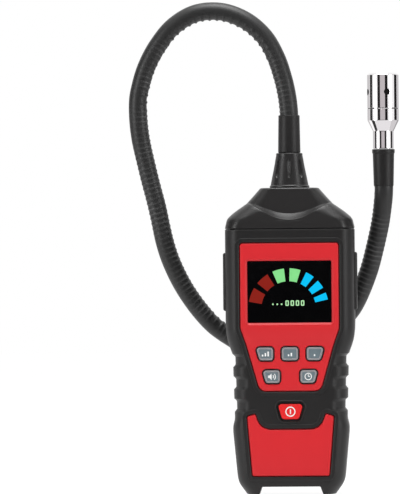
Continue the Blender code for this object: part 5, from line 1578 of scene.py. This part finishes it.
class DETECTOR_OT_head(Builder, bpy.types.Operator):
    """Builds the chromed sensor head"""

    bl_idname = "detector.head"
    bl_label = "Sensor head"

    def execute(self, context):
        self.add_base()
        self.add_cap()
        self.add_seal_and_filter()
        soften(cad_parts["gas_sensor"], 40.0)
        return {"FINISHED"}

    def add_base(self):
        """A stem, a cone and a ring, turned in one, with a spigot for the cap."""
        radius, top, foot = round_size("sensor_base")
        stem, bore, spigot = 5.95 * MM, 2.6 * MM, radius - 1.5 * MM
        stem_top, cone_top = 10.0 * MM, 16.2 * MM
        ring_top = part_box("sensor_cap")[0].z - GAP - foot
        corners = [
            (bore, 0.0, 0.05 * MM),
            (stem, 0.0, 0.3 * MM),
            (stem, stem_top, 0.8 * MM),
            (radius, cone_top, 0.6 * MM),
            (radius, ring_top - HEAD_SEAM, HEAD_SEAM),
            (spigot, ring_top - HEAD_SEAM, 0.05 * MM),
            (spigot, top, 0.2 * MM),
            (bore, top, 0.05 * MM),
        ]
        base = true_walls(soften(spun("probe_base", corners, 128), 30.0))
        at = upright(HEAD_X, foot)
        settle(base, "case", "chrome_plate", "chrome", "sensor_base", at=at)

    def add_seal_and_filter(self):
        """A black O-ring in the cap's seam, and the dark filter sleeve behind its vents."""
        radius, height, seam = round_size("sensor_cap")
        groove, lip, thin = radius - 1.45 * MM, radius - 0.2 * MM, 0.02 * MM
        corners = [
            (groove, -GAP, thin),
            (lip, -GAP, 0.1 * MM),
            (lip, 0.0, 0.1 * MM),
            (groove, 0.0, thin),
        ]
        at = upright(HEAD_X, seam)
        seal = soften(spun("probe_seal", corners, 96), 40.0)
        settle(seal, "case", "black_elastomer", "elastomer", at=at)
        outer = radius - 1.35 * MM
        inner = outer - 0.4 * MM
        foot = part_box("sensor_base")[1].z - seam + 0.2 * MM
        head = height - 1.4 * MM
        corners = [(inner, foot), (outer, foot), (outer, head), (inner, head)]
        corners = [(*corner, thin) for corner in corners]
        # The sleeve is real filter foam; its black is darkened as painted shade behind the vents
        sleeve = soften(spun("filter_sleeve", corners, 64), 40.0)
        settle(sleeve, "case", "black_foam", "foam", at=at)

    def add_cap(self):
        """A cup with a chamfered top and four round vents, each with its filter."""
        radius, height, foot = round_size("sensor_cap")
        wall, chamfer = 1.2 * MM, 1.1 * MM
        corners = [
            (radius - wall, HEAD_SEAM, 0.05 * MM),
            (radius, HEAD_SEAM, HEAD_SEAM),
            (radius, height - chamfer, 0.3 * MM),
            (radius - chamfer, height, 0.3 * MM),
            (0.6 * MM, height, 0.1 * MM),
            (0.6 * MM, height - wall, 0.1 * MM),
            (radius - wall, height - wall, 0.1 * MM),
        ]
        cap = spun("probe_cap", corners, 128)
        carve(cap, rod("plug", 24, 0.9 * MM, height - wall, height), "UNION")
        at = upright(HEAD_X, foot)
        first_vent, vent_size = -74.0, 1.85 * MM
        through = (radius - wall - 1.5 * MM, radius + 2.0 * MM)
        sunk = (radius - 1.4 * MM, radius - 0.3 * MM)
        for index in range(4):
            angle = math.radians(first_vent + 90.0 * index)
            carve(cap, self.vent("vent", angle, through, vent_size))
            # Filters in the vents: real filters, their black darkened as painted shade for the
            # depth of the vents
            plug = self.vent(f"vent_filter_{index + 1}", angle, sunk, vent_size - 0.05 * MM)
            settle(plug, "case", "black_foam", "foam", at=at)
        true_walls(soften(cap, 30.0))
        settle(cap, "case", "chrome_plate", "chrome", "sensor_cap", at=at)

    def vent(self, name, angle, reaches, size):
        """A round bar that points out of the cap, for a vent or its filter."""
        height = 9.3 * MM
        out = Vector((math.cos(angle), math.sin(angle), 0.0))
        across = Vector((-math.sin(angle), math.cos(angle), 0.0))
        rings = []
        for reach in reaches:
            middle = out * reach
            outline = circle(40, size)
            rings.append([middle + across * u + Vector((0.0, 0.0, height + v)) for u, v in outline])
        return loft(name, rings)


class DETECTOR_OT_screws(Builder, bpy.types.Operator):
    """Builds the four case screws with their crossed recess"""

    bl_idname = "detector.screws"
    bl_label = "Case screws"

    def execute(self, context):
        for node in SCREW_NODES:
            low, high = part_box(node)
            middle = centre_of(node)
            length = high.y - low.y
            radius = (high.x - low.x) / 2.0
            head = 1.8 * MM
            profile = (
                (0.2 * MM, 0.0, 0.05 * MM),
                (1.3 * MM, 0.6 * MM, 0.2 * MM),
                (1.3 * MM, length - head, 0.1 * MM),
                (radius, length - head, 0.1 * MM),
                (radius, length - head * 0.45, 0.8 * MM),
                (radius * 0.55, length, 0.8 * MM),
                (0.2 * MM, length, 0.05 * MM),
            )
            screw = spun(f"{node}_fine", profile, 40)
            carve(screw, rod("core", 16, 0.4 * MM, 0.0, length), "UNION")
            for half_x, half_y in metres((1.5, 0.3), (0.3, 1.5)):
                bottom = (-half_x, -half_y, length - 1.0 * MM)
                carve(screw, rounded_block("slot", bottom, (half_x, half_y, length + PAST)))
            soften(screw)
            screw.data.transform(Matrix.Rotation(math.radians(-90.0), 4, "X"))
            at = Vector((middle.x, low.y, middle.z))
            settle(screw, "case", "plated_steel", "zinc", node, at=at)
        return {"FINISHED"}


# Finishes of the nodes that the frame itself shows; a name may be only a beginning
NODE_FINISHES = {
    "battery_door": "black_abs",
    "window_gasket": "foam",
    "display_module": "acrylic",
    "display_bracket": "black_abs",
    "main_board": "laminate",
    "buzzer": "black_abs",
    "switch_": "black_abs",
    "lead_connector": "nylon",
    "sensor_lead": "elastomer",
    "neck_ferrule": "zinc",
    "neck_nut": "zinc",
    "gas_sensor": "zinc",
    "cell_contact": "zinc",
    "cell_spring": "zinc",
    "cell_": "wrap",
}


class DETECTOR_OT_inner_pieces(Builder, bpy.types.Operator):
    """Gives the frame's own inner pieces and the battery door their finishes"""

    bl_idname = "detector.inner_pieces"
    bl_label = "Door and inner pieces"

    def execute(self, context):
        for name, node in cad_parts.items():
            found = [start for start in NODE_FINISHES if name.startswith(start)]
            if found:
                node.data.materials.clear()
                node.data.materials.append(MATERIALS[NODE_FINISHES[found[0]]])
        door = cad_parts["battery_door"]
        bevel = door.modifiers.new("edges", "BEVEL")
        bevel.width = 0.25 * MM
        bevel.segments = 2
        bevel.limit_method = "ANGLE"
        bevel.angle_limit = math.radians(50.0)
        return {"FINISHED"}


class DETECTOR_OT_stage(Builder, bpy.types.Operator):
    """Builds the floor, the lamps, the cards and the camera"""

    bl_idname = "detector.stage"
    bl_label = "Stage"

    def execute(self, context):
        stage = context.scene.detector_stage
        self.add_world(context.scene, stage.sky)
        self.add_floor()
        self.add_lamps(stage)
        self.add_cards()
        self.add_camera(context.scene, stage)
        context.scene.view_settings.view_transform = "Standard"
        return {"FINISHED"}

    def add_world(self, scene, strength):
        """Even studio light; the background itself shows as white."""
        world = bpy.data.worlds.new("studio")
        scene.world = world
        world.use_nodes = True
        tree = world.node_tree
        tree.nodes.clear()
        level = add_node(
            tree, "MapRange",
            {"Value": self.seen_directly(tree), "To Min": strength, "To Max": 1.0},
        )
        light = add_node(
            tree, "Background", {"Color": WHITE, "Strength": level.outputs["Result"]},
        )
        output = add_node(tree, "OutputWorld")
        tree.links.new(light.outputs["Background"], output.inputs["Surface"])

    def add_floor(self):
        """White paper under the object, seen as white as the background where no shadow falls."""
        bm = bmesh.new()
        reach = 4.0
        corners = [(-reach, -reach), (reach, -reach), (reach, reach), (-reach, reach)]
        bm.faces.new([bm.verts.new((x, y, -0.2 * MM)) for x, y in corners])
        floor = mesh_from("paper_floor", bm)
        made = bpy.data.materials.new("white_paper_floor")
        made.use_nodes = True
        tree = made.node_tree
        shader = tree.nodes["Principled BSDF"]
        shader.inputs["Base Color"].default_value = (0.86, 0.86, 0.86, 1.0)
        shader.inputs["Roughness"].default_value = 0.9
        shader.inputs["Specular IOR Level"].default_value = 0.0
        glow = add_node(tree, "Emission", {"Color": WHITE, "Strength": 1.18})
        share = add_node(
            tree, "Math", {0: self.seen_directly(tree), 1: 0.8}, operation="MULTIPLY",
        )
        mix = add_node(
            tree, "MixShader",
            {0: share.outputs["Value"], 1: shader.outputs["BSDF"], 2: glow.outputs["Emission"]},
        )
        output = tree.nodes["Material Output"]
        tree.links.new(mix.outputs["Shader"], output.inputs["Surface"])
        floor.data.materials.append(made)

    def seen_directly(self, tree):
        """1 for what the camera, a reflection or a clear material shows."""
        paths = add_node(tree, "LightPath")
        seen = paths.outputs["Is Camera Ray"]
        for ray in ("Is Glossy Ray", "Is Transmission Ray"):
            either = add_node(
                tree, "Math", {0: seen, 1: paths.outputs[ray]}, operation="MAXIMUM",
            )
            seen = either.outputs["Value"]
        return seen

    def add_lamps(self, stage):
        """A softbox overhead, one at each side in front, and a weak one behind."""
        aim = upright(0.0, 0.14)
        # Name, place, width, height, power
        rows = (
            ("top_softbox", (0.0, -0.1, 1.05), 0.6, 0.6, stage.key_light),
            ("left_softbox", (-0.8, -0.5, 0.22), 0.22, 0.8, stage.side_light),
            ("right_softbox", (0.8, -0.5, 0.22), 0.22, 0.8, stage.side_light),
            ("back_softbox", (0.3, 1.0, 0.6), 0.8, 0.8, stage.back_light),
        )
        for name, place, width, height, power in rows:
            data = bpy.data.lights.new(name, "AREA")
            data.shape = "RECTANGLE"
            data.energy = power
            data.size = width
            data.size_y = height
            lamp = bpy.data.objects.new(name, data)
            lamp.location = AXIS + Vector(place)
            lamp.rotation_euler = (aim - lamp.location).to_track_quat("-Z", "Y").to_euler()
            lamp.visible_glossy = name != "back_softbox"
            bpy.context.scene.collection.objects.link(lamp)

    def add_cards(self):
        """Cards that only reflections show: stripes for the metal, shade for the black."""
        # Upright stripes round the head: name, angle, spread, colour
        stripe_low, stripe_high = 0.178, 0.36
        head = upright(HEAD_X, 0.0)
        stripes = (
            ("stripe_edge_left", -140.0, 50.0, "cfcdce"),
            ("stripe_far_left", -96.0, 27.0, "1c1b1b"),
            ("stripe_near_left", -30.0, 19.0, "2a2829"),
            ("stripe_front", -2.5, 40.0, "c6c0c2"),
            ("stripe_near_right", 25.0, 19.0, "1c1b1b"),
            ("stripe_far_right", 105.0, 30.0, "232222"),
            ("stripe_edge_right", 145.0, 44.0, "cfcdce"),
        )
        for name, angle, spread, colour in stripes:
            reach = 0.62 if name == "stripe_front" else 0.6
            edges = ((reach, stripe_low), (reach, stripe_high))
            self.add_card(name, head, edges, angle, spread, colour)
        # Shades round the case: name, distance and height of the two edges, angle, spread
        wall = ((1.1, -0.4), (1.1, 0.174))
        shades = (
            ("shade_front", wall, 0.0, 84.0),
            ("shade_left", wall, -96.0, 34.0),
            ("shade_right", wall, 96.0, 34.0),
            ("shade_high", ((1.1, 0.34), (1.0, 0.95)), 0.0, 230.0),
            ("shade_floor", ((0.05, 0.001), (1.1, 0.001)), 0.0, 90.0),
        )
        for name, edges, angle, spread in shades:
            self.add_card(name, AXIS, edges, angle, spread, "161616")
        # Bands on the floor round the head: name, angle, spread, near and far edge, colour
        on_floor = 0.002
        rounds = (
            ("shade_cone", 0.0, 150.0, 0.09, 0.24, "f0eeef"),
            ("shade_cone_right", 112.0, 74.0, 0.24, 0.6, "d8d6d7"),
            ("shade_cone_edge_right", 140.0, 76.0, 0.6, 2.2, "a2a0a1"),
            ("shade_cone_edge_left", -140.0, 76.0, 0.6, 2.2, "cfcdce"),
        )
        for name, angle, spread, near, far, colour in rounds:
            edges = ((near, on_floor), (far, on_floor))
            self.add_card(name, head, edges, angle, spread, colour)

    def add_card(self, name, centre, edges, angle, spread, colour):
        """A curved card round a centre, between two edges; angle 0 is in front of it."""
        steps = 8
        turns = [math.radians(angle + spread * (step / steps - 0.5)) for step in range(steps + 1)]
        bm = bmesh.new()
        rows = []
        for reach, height in edges:
            places = [(reach * math.sin(turn), -reach * math.cos(turn)) for turn in turns]
            rows.append([bm.verts.new((centre.x + x, centre.y + y, height)) for x, y in places])
        lower, upper = rows
        for index in range(steps):
            bm.faces.new((lower[index], lower[index + 1], upper[index + 1], upper[index]))
        card = mesh_from(name, bm)
        made = bpy.data.materials.new(f"{name}_card")
        made.use_nodes = True
        tree = made.node_tree
        tree.nodes.clear()
        glow = add_node(
            tree, "Emission", {"Color": (*linear(colour), 1.0), "Strength": 1.0},
        )
        output = add_node(tree, "OutputMaterial")
        tree.links.new(glow.outputs["Emission"], output.inputs["Surface"])
        card.data.materials.append(made)
        for ray in ("camera", "diffuse", "shadow", "transmission"):
            setattr(card, f"visible_{ray}", False)

    def add_camera(self, scene, stage):
        """Level camera a little to one side, rolled by the lean that the object has."""
        columns, rows = 400, 494
        height = rows * stage.pixel
        data = bpy.data.cameras.new("camera")
        data.sensor_fit = "VERTICAL"
        data.sensor_height = 24.0
        data.lens = data.sensor_height * stage.distance / height
        camera = bpy.data.objects.new("camera", data)
        scene.collection.objects.link(camera)
        # Where the middle of the feet stands in the picture
        foot_column, foot_row = 292.2, 493.5
        lean = stage.roll
        across = columns / 2.0 - foot_column
        up = foot_row - rows / 2.0
        x = (across * math.cos(lean) + up * math.sin(lean)) * stage.pixel
        z = (-across * math.sin(lean) + up * math.cos(lean)) * stage.pixel
        turn = Matrix.Rotation(stage.turn, 4, "Z")
        place = Matrix.Translation(AXIS + turn @ Vector((x, -stage.distance, z)))
        facing = Matrix.Rotation(math.radians(90.0), 4, "X")
        roll = Matrix.Rotation(-lean, 4, "Z")
        camera.matrix_world = place @ turn @ facing @ roll
        scene.camera = camera


class DETECTOR_PT_panel(bpy.types.Panel):
    """Lists the pieces in the 3D view's sidebar"""

    bl_idname = "DETECTOR_PT_panel"
    bl_label = "Gas Leak Detector"
    bl_space_type = "VIEW_3D"
    bl_region_type = "UI"
    bl_category = "Detector"

    def draw(self, context):
        for operator in OPERATORS:
            self.layout.operator(operator.bl_idname, text=operator.bl_label)
        for group in ("look", "case", "neck", "stage"):
            box = self.layout.box()
            settings = getattr(context.scene, f"detector_{group}")
            box.label(text=group.capitalize())
            for name in settings.__annotations__:
                box.prop(settings, name)


OPERATORS = (
    DETECTOR_OT_materials,
    DETECTOR_OT_front_armour,
    DETECTOR_OT_front_case,
    DETECTOR_OT_rear_case,
    DETECTOR_OT_top_cap,
    DETECTOR_OT_display,
    DETECTOR_OT_keys,
    DETECTOR_OT_collar,
    DETECTOR_OT_gooseneck,
    DETECTOR_OT_head,
    DETECTOR_OT_screws,
    DETECTOR_OT_inner_pieces,
    DETECTOR_OT_stage,
)
GROUPS = {
    "detector_look": LookSettings,
    "detector_case": CaseSettings,
    "detector_neck": NeckSettings,
    "detector_stage": StageSettings,
}
CLASSES = (*GROUPS.values(), *OPERATORS, DETECTOR_PT_panel)


def register():
    for item in CLASSES:
        bpy.utils.register_class(item)
    for name, group in GROUPS.items():
        setattr(bpy.types.Scene, name, bpy.props.PointerProperty(type=group))


def unregister():
    for name in GROUPS:
        delattr(bpy.types.Scene, name)
    for item in reversed(CLASSES):
        bpy.utils.unregister_class(item)


def main():
    register()
    for operator in OPERATORS:
        getattr(bpy.ops.detector, operator.bl_idname.removeprefix("detector."))()
    bpy.context.view_layer.update()


if __name__ == "__main__":
    main()
